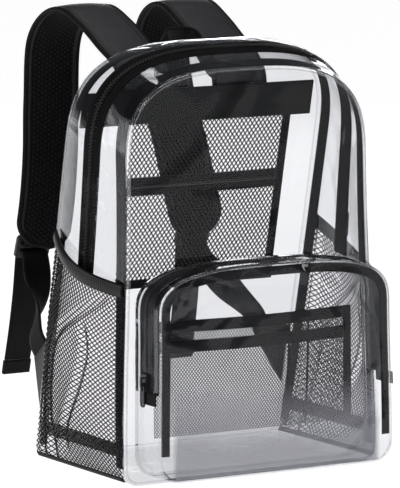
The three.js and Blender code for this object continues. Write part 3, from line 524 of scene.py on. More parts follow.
def lozenge(width, length, height, sides=5):
    """A small closed spindle along Y: two tips and two rings, for a stitch."""
    turn = np.linspace(0, math.tau, sides, endpoint=False)
    ring = np.stack([np.cos(turn) * width / 2, np.zeros(sides), np.sin(turn) * height / 2], -1)
    shift = np.array([0, length * 0.36, 0])
    tips = np.array([[0, -length / 2, -height * 0.4], [0, length / 2, -height * 0.4]])
    points = np.concatenate([ring - shift, ring + shift, tips])
    here = np.arange(sides)
    after = (here + 1) % sides
    sides_faces = np.concatenate([
        np.stack([here, after, after + sides], -1), np.stack([here, after + sides, here + sides], -1),
        np.stack([np.full(sides, 2 * sides), after, here], -1),
        np.stack([np.full(sides, 2 * sides + 1), here + sides, after + sides], -1)])
    return points, outward(points, sides_faces)


STITCH = lozenge(0.55 * MM, 2.2 * MM, 0.4 * MM)


def stitches(name, lines, finish, spacing=2.9 * MM):
    """Sewn stitches along lines, each given as (path, outward direction)."""
    frames = np.concatenate([frames_on(path, out, spacing) for path, out in lines])
    return scattered(name, *STITCH, frames, finish)


# Outline and skins of the bag

def smoothstep(low, high, value):
    share = np.clip((value - low) / (high - low), 0, 1)
    return share * share * (3 - 2 * share)


def outline(share, arch):
    """An arch from the middle of its foot round its right side: foot line, corner circle,
    straight side whose width eases from base to waist, and a superellipse over the top."""
    share = np.mod(share, 1.0)
    h = 2 * np.minimum(share, 1 - share)
    half = arch.base / 2
    corner = np.clip((h - CORNER) / (SIDE - CORNER), 0, 1) * math.pi / 2
    rise = np.clip((h - SIDE) / (SHOULDER - SIDE), 0, 1)
    turn = np.clip((h - SHOULDER) / (1 - SHOULDER), 0, 1) * math.pi / 2
    straight = arch.height - arch.shoulder - arch.corner
    x = np.select([h <= CORNER, h <= SIDE, h <= SHOULDER], [
        h / CORNER * (half - arch.corner),
        half - arch.corner + arch.corner * np.sin(corner),
        half + (arch.waist / 2 - half) * smoothstep(0, 1, rise),
    ], arch.waist / 2 * np.maximum(np.cos(turn), 0) ** (2 / arch.power))
    z = np.select([h <= CORNER, h <= SIDE, h <= SHOULDER], [
        0 * h, arch.corner * (1 - np.cos(corner)), arch.corner + straight * rise,
    ], arch.height - arch.shoulder + arch.shoulder * np.maximum(np.sin(turn), 0) ** (2 / arch.power))
    return np.where(share <= 0.5, x, -x), z + arch.foot


def outline_normal(share, arch):
    """The outward direction square to the outline, from a short step to both sides."""
    reach = 0.002
    x0, z0 = outline(share - reach, arch)
    x1, z1 = outline(share + reach, arch)
    size = np.hypot(x1 - x0, z1 - z0)
    return (z1 - z0) / size, (x0 - x1) / size


def inset_outline(share, arch, inset):
    x, z = outline(share, arch)
    nx, nz = outline_normal(share, arch)
    return x - nx * inset, z - nz * inset


def share_at_height(z, arch):
    """The share at which the right side of an arch is at a height."""
    rise = (z - arch.foot - arch.corner) / (arch.height - arch.shoulder - arch.corner)
    low = np.arccos(np.clip(1 - (z - arch.foot) / arch.corner, -1, 1)) / (math.pi / 2)
    return np.where(rise >= 0, SIDE + (SHOULDER - SIDE) * rise,
                    CORNER + (SIDE - CORNER) * low) / 2


def even_shares(arch, count, start=0.0, end=1.0):
    """Shares evenly spaced along the length of an outline."""
    fine = np.linspace(start, end, 8001)
    x, z = outline(fine, arch)
    length = np.concatenate([[0], np.cumsum(np.hypot(np.diff(x), np.diff(z)))])
    return np.interp(np.linspace(0, length[-1], count), length, fine)


def front_plane(z):
    return -BASE_DEPTH / 2 + FRONT_LEAN * z / FRONT_HEIGHT


def back_plane(z):
    return BASE_DEPTH / 2 - (BASE_DEPTH - FRONT_LEAN - TOP_DEPTH) * z / BAG_HEIGHT


def crown_at(x, z, arch, crown):
    """A puff that is highest in the middle of a sheet and dies away at its sides."""
    share = np.clip((z - arch.foot) / arch.height, 0, 1)
    return crown * np.maximum(1 - (x / (arch.waist / 2)) ** 2, 0) * np.sin(math.pi * share)


def front_skin(x, z):
    return front_plane(z) - crown_at(x, z, FRONT, PANEL_CROWN)


def back_skin(x, z):
    return back_plane(z) + crown_at(x, z, BACK, PANEL_CROWN)


def body_skin(share, depth):
    """The gusset: front and back outlines joined by straight lines, swollen outward between."""
    front_x, front_z = outline(share, FRONT)
    back_x, back_z = outline(share, BACK)
    nx, nz = outline_normal(share, FRONT)
    wrapped = np.mod(share, 1.0)
    h = 2 * np.minimum(wrapped, 1 - wrapped)
    swell = np.clip(2 * (h - SIDE) / (SHOULDER - SIDE), 0, 1)
    bulge = SIDE_BULGE * np.sin(math.pi / 2 * swell)
    bulge = bulge + (TOP_BULGE - SIDE_BULGE) * smoothstep(SHOULDER, 1, h)
    lift = bulge * np.sin(math.pi * np.clip(depth, 0, 1) ** 1.4)
    return np.stack([
        front_x + (back_x - front_x) * depth + lift * nx,
        front_plane(front_z) + (back_plane(back_z) - front_plane(front_z)) * depth,
        front_z + (back_z - front_z) * depth + lift * nz], axis=-1)


def gusset_depth(share):
    return np.linalg.norm(body_skin(share, 1.0 + 0 * share) - body_skin(share, 0 * share), axis=-1)


def from_front(distance):
    return lambda share: distance / gusset_depth(share)


def from_back(distance):
    return lambda share: 1 - distance / gusset_depth(share)


def from_zip(distance):
    return lambda share: ZIP_PLACE + distance / gusset_depth(share)


def gusset_grid(shares, near, far, columns):
    """A band of the gusset between two lines, each a depth as a function of the share."""
    low, high = near(shares), far(shares)
    blend = np.linspace(0, 1, columns)
    depth = low[:, None] + (high - low)[:, None] * blend[None]
    return body_skin(np.broadcast_to(shares[:, None], depth.shape), depth)


def folds(u, v, seed, count, area, length, width, height):
    """Soft creases: each is a bell across its own line that tapers along it, at a place and
    angle from a seeded generator."""
    rng = np.random.default_rng(seed)
    total = np.zeros(np.broadcast(u, v).shape)
    for _ in range(count):
        angle = rng.uniform(0, math.pi)
        u0, v0 = rng.uniform(area[0], area[1]), rng.uniform(area[2], area[3])
        reach, thin = rng.uniform(*length), rng.uniform(*width)
        lift = rng.uniform(-1, 1) * height
        along = (u - u0) * math.cos(angle) + (v - v0) * math.sin(angle)
        across = (v - v0) * math.cos(angle) - (u - u0) * math.sin(angle)
        bend = across + along * along * rng.uniform(-4, 4)
        total += lift * np.exp(-(bend / thin) ** 2 - (along / reach) ** 2)
    return total


ZIP_SHARE = float(share_at_height(ZIP_END, FRONT))
POCKET_ZIP_SHARE = float(share_at_height(POCKET_ZIP_END, POCKET))


# Creases: how many, their area (from and to across, from and to up), lengths, widths, height
PANEL_FOLDS = (16, (-0.14, 0.14, 0.0, 0.42), (0.05, 0.16), (0.006, 0.02), 1.6 * MM)
GUSSET_FOLDS = (60, (0, 0.06, 0, 0.8), (0.012, 0.05), (0.002, 0.007), 1.3 * MM)
SIDE_FOLDS = (40, (0, 0.18, 0, 0.65), (0.02, 0.06), (0.004, 0.01), 1.5 * MM)
POCKET_BASE_FOLDS = (26, (0, 0.05, 0, 0.46), (0.01, 0.04), (0.003, 0.008), 1.2 * MM)

# Creases of the pocket's face, each row with its seed first
FACE_FOLDS = [
    (31, 18, (-0.13, 0.13, 0.0, 0.21), (0.03, 0.1), (0.004, 0.014), 1.5 * MM),
    (32, 12, (-0.128, -0.09, 0.15, 0.21), (0.01, 0.03), (0.002, 0.005), 1.8 * MM),
    (33, 12, (0.03, 0.13, 0.02, 0.12), (0.02, 0.06), (0.003, 0.008), 1.8 * MM),
    (35, 14, (-0.125, -0.07, 0.16, 0.212), (0.008, 0.025), (0.0015, 0.004), 1.6 * MM)]


def panel_grid(arch, rows, columns, piping):
    """x and z of a sheet inside an arch, and how far inward of its side each point lies."""
    shares = even_shares(arch, rows, CORNER / 2, 0.4995)
    edge_x, edge_z = inset_outline(shares, arch, 1.2 * piping)
    edge_x = np.maximum(edge_x, 0.3 * MM)[:, None]
    x = edge_x * np.linspace(-1, 1, columns)
    return x, np.broadcast_to(edge_z[:, None], x.shape), edge_x - np.abs(x)


def ease(distance, reach):
    return np.clip(distance / reach, 0, 1)


def make_panels():
    """The clear front and back sheets, with a few long soft creases."""
    for name, arch, skin, node, seed in [
            ("front_sheet", FRONT, front_skin, "front_panel", 11),
            ("back_sheet", BACK, back_skin, "back_panel", 12)]:
        x, z, inward = panel_grid(arch, 110, 90, PIPING)
        calm = ease(inward, 20 * MM) * ease(arch.height - z, 30 * MM) * ease(z, 20 * MM)
        y = skin(x, z) + folds(x, z, seed, *PANEL_FOLDS) * calm
        vinyl_sheet(name, stacked(x, y, z), node)


def creased(grid, seed, row, highest=np.inf):
    """A band with folds that die away at both of its long sides and rise no higher than given."""
    run, across = run_lengths(grid)
    v, u = np.meshgrid(run, across, indexing="ij")
    calm = np.sin(math.pi * np.linspace(0, 1, grid.shape[1]))[None] ** 0.5
    crease = np.minimum(folds(u, v, seed, *row), highest)
    return grid + grid_normals(grid) * (crease * calm)[..., None]


def make_gussets():
    """Clear sheet round the sides and over the arch, on both sides of the zip."""
    seam, lap = 0.6 * PIPING, ZIP_TAPE / 2 - 1 * MM
    shares = even_shares(FRONT, 260, ZIP_SHARE, 1 - ZIP_SHARE)
    for name, near, far, node, seed in [
            ("gusset_front_sheet", from_front(seam), from_zip(-lap), "front_gusset", 21),
            ("gusset_rear_sheet", from_zip(lap), from_back(seam), "rear_gusset", 22)]:
        vinyl_sheet(name, creased(gusset_grid(shares, near, far, 22), seed, GUSSET_FOLDS), node)
    shares = even_shares(FRONT, 200, ZIP_SHARE - 1, ZIP_SHARE)
    grid = gusset_grid(shares, from_front(seam), from_back(seam), 50)
    vinyl_sheet("gusset_lower_sheet", creased(grid, 23, SIDE_FOLDS, 0), "lower_gusset")


def ring_path(arch, inset, place_y, count):
    shares = even_shares(arch, count + 1)[:-1]
    x, z = inset_outline(shares, arch, inset)
    return stacked(x, place_y(x, z), z)


def make_pipings():
    """Clear piping in each seam: a round cord on the outline, pressed through the sheet."""
    for name, arch, place_y, count, radius, node in [
            ("front_welt", FRONT, lambda x, z: front_plane(z), 420, PIPING, "front_piping"),
            ("back_welt", BACK, lambda x, z: back_plane(z), 420, PIPING, "back_piping"),
            ("pocket_front_welt", POCKET, pocket_front_y, 320, POCKET_PIPING, "pocket_front_piping"),
            ("pocket_back_welt", POCKET, pocket_back_y, 320, POCKET_PIPING, "pocket_back_piping")]:
        path = ring_path(arch, radius, place_y, count)
        dress(tube(name, path, 10, radius, VINYL_WELT, AHEAD, ring=True), "clear_vinyl", node)


def make_bindings():
    """Black ribbed binding inside the front and back seams."""
    start = float(share_at_height(BINDING_START, FRONT))
    shares = even_shares(FRONT, 300, start, 1 - start)
    setback, edge = BINDING_SETBACK, BINDING_SETBACK + BINDING_WIDTH
    for name, near, far, node in [
            ("front_seam_binding", from_front(setback), from_front(edge), "front_binding"),
            ("back_seam_binding", from_back(edge), from_back(setback), "back_binding")]:
        binding(name, gusset_grid(shares, near, far, 6), node, inset=INSIDE)


def tooth():
    """One coil tooth: a flat rounded block that leans over the middle of the zip."""
    width, length, height = 3.6 * MM, 1.15 * MM, 1.5 * MM
    turn = np.linspace(0, math.tau, 6, endpoint=False)
    ring = np.stack([np.zeros(6), np.cos(turn) * length / 2, np.sin(turn) * height / 2], axis=-1)
    places = np.array([-0.5, -0.3, 0.3, 0.5])[:, None, None] * np.array([width, 0, 0])
    size = np.array([0.55, 1.0, 1.0, 0.7])[:, None, None]
    points = (ring[None] * size + places).reshape(-1, 3)
    faces = grid_faces(4, 6, ring=True)
    caps = np.array([[0, 1, 2, 3], [0, 3, 4, 5], [18, 19, 20, 21], [18, 21, 22, 23]])
    caps[:2] = caps[:2, ::-1]
    quads = np.concatenate([faces, caps])
    return points, outward(points, quads)


def zip_teeth(name, path, out, node):
    """Teeth in turn from both sides of the zip's middle line."""
    points, faces = tooth()
    frames = frames_on(path, out, TOOTH_PITCH)
    side = np.where(np.arange(len(frames)) % 2 == 0, 1.0, -1.0)
    frames[:, :3, 3] += frames[:, :3, 0] * (side * 0.95 * MM)[:, None]
    frames[:, :3, 3] += frames[:, :3, 2] * (0.95 * MM)
    frames[:, :3, 0] *= side[:, None]
    frames[:, :3, 1] *= side[:, None]
    dress(scattered(name, points, faces, frames, COIL), "zip_coil", node)


TAPE_STITCHES = (-10.6 * MM, -6 * MM, 10.6 * MM)  # from the middle of the main zip
SEAM_STITCHES = 3.2 * MM
STITCH_LIFT = 0.25 * MM


def make_main_zip():
    """Zip tape, teeth, and stitches on both edges of the tape and along the seams."""
    shares = even_shares(FRONT, 300, ZIP_SHARE, 1 - ZIP_SHARE)
    grid = gusset_grid(shares, from_zip(-ZIP_TAPE / 2), from_zip(ZIP_TAPE / 2), 12)
    out = grid_normals(grid)[:, 6]
    dress(thick_sheet("main_tape", grid, CLOTH, ZIP_CLOTH), "zip_tape", "main_zip_tape")
    zip_teeth("main_teeth", body_skin(shares, from_zip(0)(shares)), out, "main_zip_coil")
    places = [from_zip(distance) for distance in TAPE_STITCHES]
    places += [from_front(SEAM_STITCHES), from_back(SEAM_STITCHES)]
    lines = [(body_skin(shares, near(shares)) + out * STITCH_LIFT, out) for near in places]
    dress(stitches("gusset_stitches", lines, THREAD), "black_binding")


# Front pocket

POCKET_STANDOFF = 0.45 * MM
POCKET_SEAM = 1 * MM
POCKET_SETBACK = 3.8 * MM
POCKET_STITCHES = (-10.5 * MM, -7 * MM, 7 * MM, 10.5 * MM)  # from the middle of its zip
POCKET_SEAM_STITCHES = 2.6 * MM


def pocket_front_y(x, z):
    return front_skin(x, z) - POCKET_STANDOFF - POCKET_DEPTH


def pocket_back_y(x, z):
    return front_skin(x, z) - POCKET_STANDOFF - POCKET_PIPING


def pocket_face_y(x, z):
    return pocket_front_y(x, z) - crown_at(x, z, POCKET, POCKET_CROWN)


def pocket_skin(share, depth):
    x, z = outline(share, POCKET)
    y = front_skin(x, z) - POCKET_STANDOFF - POCKET_DEPTH * (1 - depth)
    return stacked(x, y, z + 0 * y)


def pocket_grid(shares, near, far, columns):
    depth = np.linspace(near, far, columns)[None] / POCKET_DEPTH
    return pocket_skin(shares[:, None] + 0 * depth, depth + 0 * shares[:, None])


def bow_crease(x, z):
    """A long bow low on the right of the face: a bell across part of an ellipse."""
    off = np.hypot(x - 0.045, (z - 0.11) * 0.8) - 0.078
    return 1.6 * MM * np.exp(-(off / (3 * MM)) ** 2) * smoothstep(0.06, 0.10, x)


def make_pocket():
    """The pocket's clear face and sides, its smoky zip tape, teeth, bindings and stitches."""
    x, z, inward = panel_grid(POCKET, 90, 110, POCKET_PIPING)
    calm = ease(inward, 12 * MM) * ease(POCKET.foot + POCKET.height - z, 12 * MM)
    crease = sum(folds(x, z, *row) for row in FACE_FOLDS) + bow_crease(x, z)
    face = stacked(x, pocket_face_y(x, z) + crease * calm, z)
    vinyl_sheet("pocket_face", face, "pocket_front", VINYL_FACE)
    shares = even_shares(POCKET, 200, POCKET_ZIP_SHARE, 1 - POCKET_ZIP_SHARE)
    half, lap, rear = POCKET_DEPTH / 2, POCKET_TAPE / 2 - 1 * MM, POCKET_DEPTH - POCKET_SEAM
    for name, near, far, node in [
            ("pocket_strip_front", POCKET_SEAM, half - lap, "pocket_front_strip"),
            ("pocket_strip_rear", half + lap, rear, "pocket_rear_strip")]:
        vinyl_sheet(name, pocket_grid(shares, near, far, 6), node)
    low = even_shares(POCKET, 160, POCKET_ZIP_SHARE - 1, POCKET_ZIP_SHARE)
    base = creased(pocket_grid(low, POCKET_SEAM, rear, 24), 34, POCKET_BASE_FOLDS)
    vinyl_sheet("pocket_base_sheet", base, "pocket_floor", VINYL_BASE)
    tape = pocket_grid(shares, half - POCKET_TAPE / 2, half + POCKET_TAPE / 2, 10)
    out = grid_normals(tape)[:, 5]
    dress(thick_sheet("pocket_tape", tape, CLOTH, SMOKE_CLOTH), "zip_tape", "pocket_zip_tape")

    def line(place):
        return pocket_grid(shares, place, place + 1 * MM, 2)[:, 0]

    zip_teeth("pocket_teeth", line(half), out, "pocket_zip_coil")
    grid = pocket_grid(shares, POCKET_SETBACK, POCKET_SETBACK + POCKET_BINDING, 5)
    binding("pocket_seam_binding", grid, "pocket_binding", inset=INSIDE)
    start = float(share_at_height(FACING_START, POCKET))
    low = even_shares(POCKET, 200, start, 1 - start)[:, None]
    inset = np.linspace(2 * POCKET_PIPING, 2 * POCKET_PIPING + FACING_WIDTH, 6)[None]
    x, z = inset_outline(low + 0 * inset, POCKET, inset + 0 * low)
    binding("pocket_seam_facing", stacked(x, pocket_face_y(x, z) + INSIDE, z))
    places = [half + distance for distance in POCKET_STITCHES] + [POCKET_SEAM_STITCHES]
    lines = [(line(place) + out * STITCH_LIFT, out) for place in places]
    dress(stitches("pocket_stitches", lines, THREAD), "black_binding")


# Nets

def strand_net(name, surface, width, height, pitch, thread, finish=NET):
    """Diamond net: two families of thin three-sided threads, slanting both ways, that cross at
    every half pitch. surface(u, v) gives the points of the cloth that they lie on."""
    rows = max(int(round(2 * height / pitch[1])), 1)
    columns = max(int(round(2 * width / pitch[0])), 1)
    step = np.array([width / columns, height / rows])
    level = np.arange(rows + 1)
    points, faces, start = [], [], 0
    for slant in (1, -1):
        first = np.arange(-rows, columns + 1, 2) if slant > 0 else np.arange(0, columns + rows + 1, 2)
        place = first[:, None] + slant * level[None]
        inside = (place >= 0) & (place <= columns)
        u = np.clip(place, 0, columns) * step[0]
        v = np.broadcast_to(level * step[1], u.shape)
        tiny = 0.25
        spot = surface(u, v)
        along = unit(surface(u + slant * tiny * step[0], v + tiny * step[1])
                     - surface(u - slant * tiny * step[0], v - tiny * step[1]))
        over = unit(np.cross(surface(u + tiny * step[0], v) - surface(u - tiny * step[0], v), along))
        side = np.cross(along, over)
        spot = spot + over * (slant * thread * 0.35)
        turn = np.array([0, 1, 2]) * math.tau / 3
        ring = spot[:, :, None] + thread / 2 * (
            over[:, :, None] * np.cos(turn)[:, None] + side[:, :, None] * np.sin(turn)[:, None])
        index = start + np.arange(ring.shape[0] * ring.shape[1] * 3).reshape(ring.shape[:3])
        both = inside[:, :-1] & inside[:, 1:]
        low, high = index[:, :-1][both], index[:, 1:][both]
        for a in range(3):
            b = (a + 1) % 3
            faces.append(np.stack([low[:, a], low[:, b], high[:, b]], axis=-1))
            faces.append(np.stack([low[:, a], high[:, b], high[:, a]], axis=-1))
        begins = both & ~np.pad(inside, ((0, 0), (1, 0)))[:, :-2]
        ends = both & ~np.pad(inside, ((0, 0), (0, 1)))[:, 2:]
        faces.append(index[:, :-1][begins][:, ::-1])
        faces.append(index[:, 1:][ends])
        points.append(ring.reshape(-1, 3))
        start += points[-1].shape[0]
    faces = np.concatenate(faces)
    used, faces = np.unique(faces, return_inverse=True)
    return mesh_piece(name, np.concatenate(points)[used], faces.reshape(-1, 3), [finish])


# Side pockets

NET_BOTTOM = 5 * MM
HEM_TOP = 9 * MM
HEM_THICKNESS = 1.6 * MM
NET_BACK_TOP = 214 * MM
NET_FRONT_TOP = 187 * MM
NET_SAG = 7 * MM
NET_POUCH = 17 * MM
NET_FOLD = 3.6 * MM
NET_SLACK = 0.05
NET_STANDOFF = 0.7 * MM
NET_EDGE = 4 * MM
NET_WIDTH = BASE_DEPTH * 0.92
NET_PITCH, NET_THREAD = (7.2 * MM, 5.6 * MM), 1.35 * MM
ELASTIC_HEIGHT = 12 * MM
ELASTIC_THICKNESS = 2 * MM
ELASTIC_ROUND = 1.8 * MM
GATHERS, GATHER_DEPTH = 48.3, 0.12 * MM
SIDE_BAND = (28 * MM, 41 * MM)
SIDE_BAND_INSET = 2.2 * MM


def net_top(across):
    """The sagging top edge: a straight line from front to back, less a half sine."""
    return (NET_FRONT_TOP + (NET_BACK_TOP - NET_FRONT_TOP) * across
            - NET_SAG * np.sin(math.pi * np.clip(across, 0, 1)))


# Valleys of the side net, as across and up its cloth: one row for each point from base to top
BACK_VALLEY = [(0.78, 0.12), (0.76, 0.38), (0.73, 0.58), (0.64, 0.70), (0.40, 0.84), (0.16, 0.97)]
MIDDLE_VALLEY = [(0.62, 0.13), (0.54, 0.21), (0.43, 0.36), (0.36, 0.47), (0.30, 0.65), (0.35, 0.79)]
GATHER = [(0.90, 0.0), (0.91, 0.5), (0.89, 1.0)]


def valley_place(up, table):
    """Where a valley runs at a height: its table read between rows, softened by three taps."""
    across, rows = zip(*table)
    return sum(np.interp(up + step, rows, across) for step in (-0.04, 0.0, 0.04)) / 3


def pleats(across, up):
    """Folds of the side net: beside each valley line the cloth bulges, and at the line it drops
    as a narrow bell; distances are measured square to the line."""
    total = np.zeros(np.broadcast(across, up).shape)
    for table, low, high, drop, width in [
            (BACK_VALLEY, -0.1, 0.97, 1.0, 0.030), (MIDDLE_VALLEY, 0.05, 0.80, 1.0, 0.026),
            (GATHER, -0.2, 1.1, 0.9, 0.020)]:
        slope = (valley_place(up + 0.02, table) - valley_place(up - 0.02, table)) / 0.04
        off = (across - valley_place(up, table)) / np.sqrt(1 + (0.85 * slope) ** 2)
        bulge = 0.7 * np.exp(-(off / (3.2 * width)) ** 2) - drop * 1.5 * np.exp(-(off / width) ** 2)
        held = smoothstep(low, low + 0.12, up) * (1 - smoothstep(high - 0.08, high + 0.04, up))
        total = total + bulge * held
    return total


def side_surface(side, across, z, pouch, fold=0.0):
    """A point of the side sheet pushed out by the belly of the net: a half sine from front to
    back, times a sine that rises off the base and dies away under the elastic."""
    share = share_at_height(z, FRONT)
    near, far = from_front(NET_EDGE)(share), from_back(NET_EDGE)(share)
    place = body_skin(share, near + (far - near) * across)
    up = (z - NET_BOTTOM) / (net_top(across) - NET_BOTTOM)
    belly = (pouch * np.sin(math.pi * np.clip(across, 0, 1)) * smoothstep(0, 0.25, up)
             * np.sin(math.pi * (0.12 + 0.75 * np.clip(up, 0, 1))))
    place[..., 0] = side * (place[..., 0] + NET_STANDOFF + belly + fold * pleats(across, up))
    return place


def make_side_pockets():
    """On both sides a diamond net, its gathered elastic, a hem, and the band on the sheet."""
    across = np.linspace(0, 1, 260)[:, None]
    rise = np.linspace(0, 1, 9)[None]
    low, high = (float(share_at_height(z, FRONT)) for z in SIDE_BAND)
    for word, side in (("left", -1), ("right", 1)):

        def net_cloth(u, v, side=side):
            back = u / NET_WIDTH
            gathered = back - NET_SLACK * np.sin(math.pi * back) * np.maximum(back, 0)
            z = HEM_TOP + (net_top(gathered) + 1 * MM - HEM_TOP) * (v / NET_BACK_TOP)
            return side_surface(side, gathered, z, NET_POUCH, NET_FOLD)

        piece = strand_net(f"net_pocket_{word}", net_cloth, NET_WIDTH, NET_BACK_TOP, NET_PITCH,
                           NET_THREAD)
        dress(piece, "black_net", f"side_net_{word}")

        z = net_top(across) + 0.3 * MM + ELASTIC_HEIGHT * rise
        grid = side_surface(side, across + 0 * rise, z, NET_POUCH)
        gathers = GATHER_DEPTH * np.sin(across * math.tau * GATHERS) * np.sin(math.pi * rise)
        grid[..., 0] += side * (gathers + ELASTIC_ROUND * np.sin(math.pi * rise) ** 0.7)
        piece = thick_sheet(f"elastic_{word}", grid[::side], ELASTIC_THICKNESS, ELASTIC)
        dress(piece, "black_binding", f"side_elastic_{word}")

        grid = side_surface(side, np.linspace(0, 1, 60)[:, None] + 0 * rise,
                            NET_BOTTOM + (HEM_TOP - NET_BOTTOM) * rise, 0.0)
        binding(f"hem_{word}", grid[::side], f"side_hem_{word}", thickness=HEM_THICKNESS,
                inset=-0.2 * MM)

        shares = np.linspace(low, high, 8) if side > 0 else np.linspace(1 - high, 1 - low, 8)
        grid = gusset_grid(shares, from_front(BINDING_SETBACK), from_back(BINDING_SETBACK), 40)
        binding(f"low_band_{word}", grid, f"side_band_{word}", inset=SIDE_BAND_INSET)


# Inside of the back sheet

YOKE = SimpleNamespace(width=270 * MM, bottom=345 * MM, top=380 * MM, thickness=2 * MM)
INNER = SimpleNamespace(
    left=-72 * MM, right=104 * MM, bottom=176 * MM, top=345 * MM, puff=5 * MM,
    zip_bottom=270 * MM, zip_top=289 * MM, side=9 * MM, pitch=(5.0 * MM, 6.7 * MM),
    thread=1.5 * MM)


def inner_cloth(x, z, lift, puff=0.0):
    """A piece lying "lift" inside the back sheet, puffed forward in its middle."""
    across = np.clip((x - INNER.left) / (INNER.right - INNER.left), 0, 1)
    up = np.clip((z - INNER.bottom) / (INNER.top - INNER.bottom), 0, 1)
    wave = np.sin(math.pi * across) * np.sin(math.pi * up)
    ripple = 0.25 * np.sin(7 * across + 3 * up) * wave
    return stacked(x, back_skin(x, z) - INSIDE - lift - puff * (wave + ripple), z)


def inner_band(name, from_x, to_x, from_z, to_z, lift, finish, slot, *nodes,
               thickness=CLOTH, puff=0.0):
    x, z = np.meshgrid(np.linspace(from_x, to_x, 60), np.linspace(from_z, to_z, 24))
    piece = thick_sheet(name, inner_cloth(x, z, lift, puff), -thickness, finish)
    dress(piece, slot, *nodes)


def make_inside():
    """Yoke, net pocket with its zip, side binding and base binding, all on the back sheet."""
    n, half = INNER, YOKE.width / 2
    inner_band("yoke", -half, half, YOKE.bottom, YOKE.top, 0.0, INNER_CLOTH, "black_binding",
               "yoke_band", thickness=YOKE.thickness)

    def net_cloth(u, v):
        return inner_cloth(n.left + u, n.bottom + v, 0.5 * MM, n.puff)

    dress(strand_net("inner_net", net_cloth, n.right - n.left, n.top - n.bottom, n.pitch,
                     n.thread), "black_net", "inner_pocket_net")
    inner_band("inner_tape", n.left, n.right, n.zip_bottom, n.zip_top, 1.4 * MM, INNER_CLOTH,
               "zip_tape", "inner_pocket_zip", puff=n.puff)
    x = np.linspace(n.left + 2 * MM, n.right - 2 * MM, 200)
    path = inner_cloth(x, (n.zip_bottom + n.zip_top) / 2 + 0 * x, 2.4 * MM, n.puff)
    dress(tube("inner_coil", path, 8, 1.5 * MM, COIL, AHEAD), "zip_coil")
    inner_band("inner_side_binding", n.right, n.right + n.side, n.bottom, n.top, 0.2 * MM,
               BINDING, "black_binding", "inner_pocket_binding")
    inner_band("inner_base_binding", n.left, n.right + n.side, n.bottom - 4 * MM,
               n.bottom + 5 * MM, 1.2 * MM, BINDING, "black_binding")


# Organiser behind the front pocket

ORGANISER = SimpleNamespace(
    left=-114 * MM, right=108 * MM, bottom=46 * MM, top=162 * MM, puff=9 * MM,
    binding=12 * MM, band=(130 * MM, 142 * MM), side=9 * MM, pen_seams=(36 * MM, 60 * MM),
    pen_seam=2.4 * MM, pitch=(3.3 * MM, 4.2 * MM), thread=1.05 * MM)


def organiser_cloth(x, z, lift):
    """The front sheet pushed forward: a half sine across, times a quarter sine up."""
    across = np.clip((x - ORGANISER.left) / (ORGANISER.right - ORGANISER.left), 0, 1)
    up = np.clip((z - ORGANISER.bottom) / (ORGANISER.top - ORGANISER.bottom), 0, 1)
    puff = ORGANISER.puff * np.sin(math.pi * across) * np.sin(math.pi / 2 * up)
    return stacked(x, front_skin(x, z) - puff - lift, z)


def organiser_band(name, from_x, to_x, from_z, to_z, lift, *nodes, thickness=CLOTH):
    x, z = np.meshgrid(np.linspace(from_x, to_x, 70), np.linspace(from_z, to_z, 14))
    binding(name, organiser_cloth(x, z, lift + thickness), *nodes, thickness=thickness)


def make_organiser():
    """Fine net with a broad top binding, a second band, a side binding and pen seams."""
    o = ORGANISER
    edge = o.top - o.binding

    def net_cloth(u, v):
        return organiser_cloth(o.left + u, o.bottom + v, 0.8 * MM)

    dress(strand_net("organiser_mesh", net_cloth, o.right - o.left, edge - o.bottom, o.pitch,
                     o.thread), "black_net", "organiser_net")
    organiser_band("organiser_top", o.left, o.right, edge, o.top, 0.5 * MM,
                   "organiser_top_binding")
    organiser_band("organiser_second", o.left, o.right, *o.band, 1.4 * MM, "organiser_band")
    organiser_band("organiser_side", o.right, o.right + o.side, o.bottom, o.top, 0.5 * MM,
                   "organiser_side_binding")
    for word, x in zip(("first", "second"), o.pen_seams):
        organiser_band(f"pen_seam_{word}", x, x + o.pen_seam, o.bottom, edge, 1.4 * MM,
                       thickness=0.6 * MM)


# Straps

STRAP = SimpleNamespace(
    width=62 * MM, thickness=9 * MM, spacing=108 * MM, root=372 * MM, top=452 * MM,
    reach=196 * MM, spread=96 * MM, end=205 * MM, round=24 * MM)
WEB_WIDTH = 30 * MM
WEB_THICKNESS = 1.8 * MM
KEEPER_REACH = (26 * MM, 15.6 * MM)
BUCKLE_TILT = math.radians(20)
BUCKLE_BACK = 17 * MM
SLOT_PITCH = 3.75 * MM
THROUGH = 2.6 * MM
WING = SimpleNamespace(
    seam=144 * MM, low=56 * MM, high=118 * MM, inward=12 * MM, back=34 * MM, height=110 * MM,
    thickness=2 * MM)
TAIL_DROP, TAIL_BACK, TAIL_OUT = 120 * MM, 20 * MM, 3 * MM
TAIL_FOLD = np.array([0, 3.73 * MM, -14 * MM])

# Section of a pad: how square it is, its crown, its sewn channels and its bound edge
PAD_SQUARE = 0.62
PAD_CROWN = 0.38
CHANNEL_PLACE, CHANNEL_WIDTH, CHANNEL_DEPTH = 0.80, 0.045, 0.3
PAD_EDGE = 2.9 * MM

# Shares of the way from the root to the lower end: sideways, back, and up
STRAP_RISE = [(0, 0, 0), (0, 0.02, 0.22), (0.01, 0.09, 0.4), (0.04, 0.24, 0.58),
              (0.07, 0.46, 0.84), (0.12, 0.67, 1)]
STRAP_FALL = [(0.17, 0.86, 0.965), (0.24, 0.985, 0.86), (0.38, 0.97, 0.6), (0.57, 0.9, 0.39),
              (0.76, 0.86, 0.19), (1, 0.835, 0)]


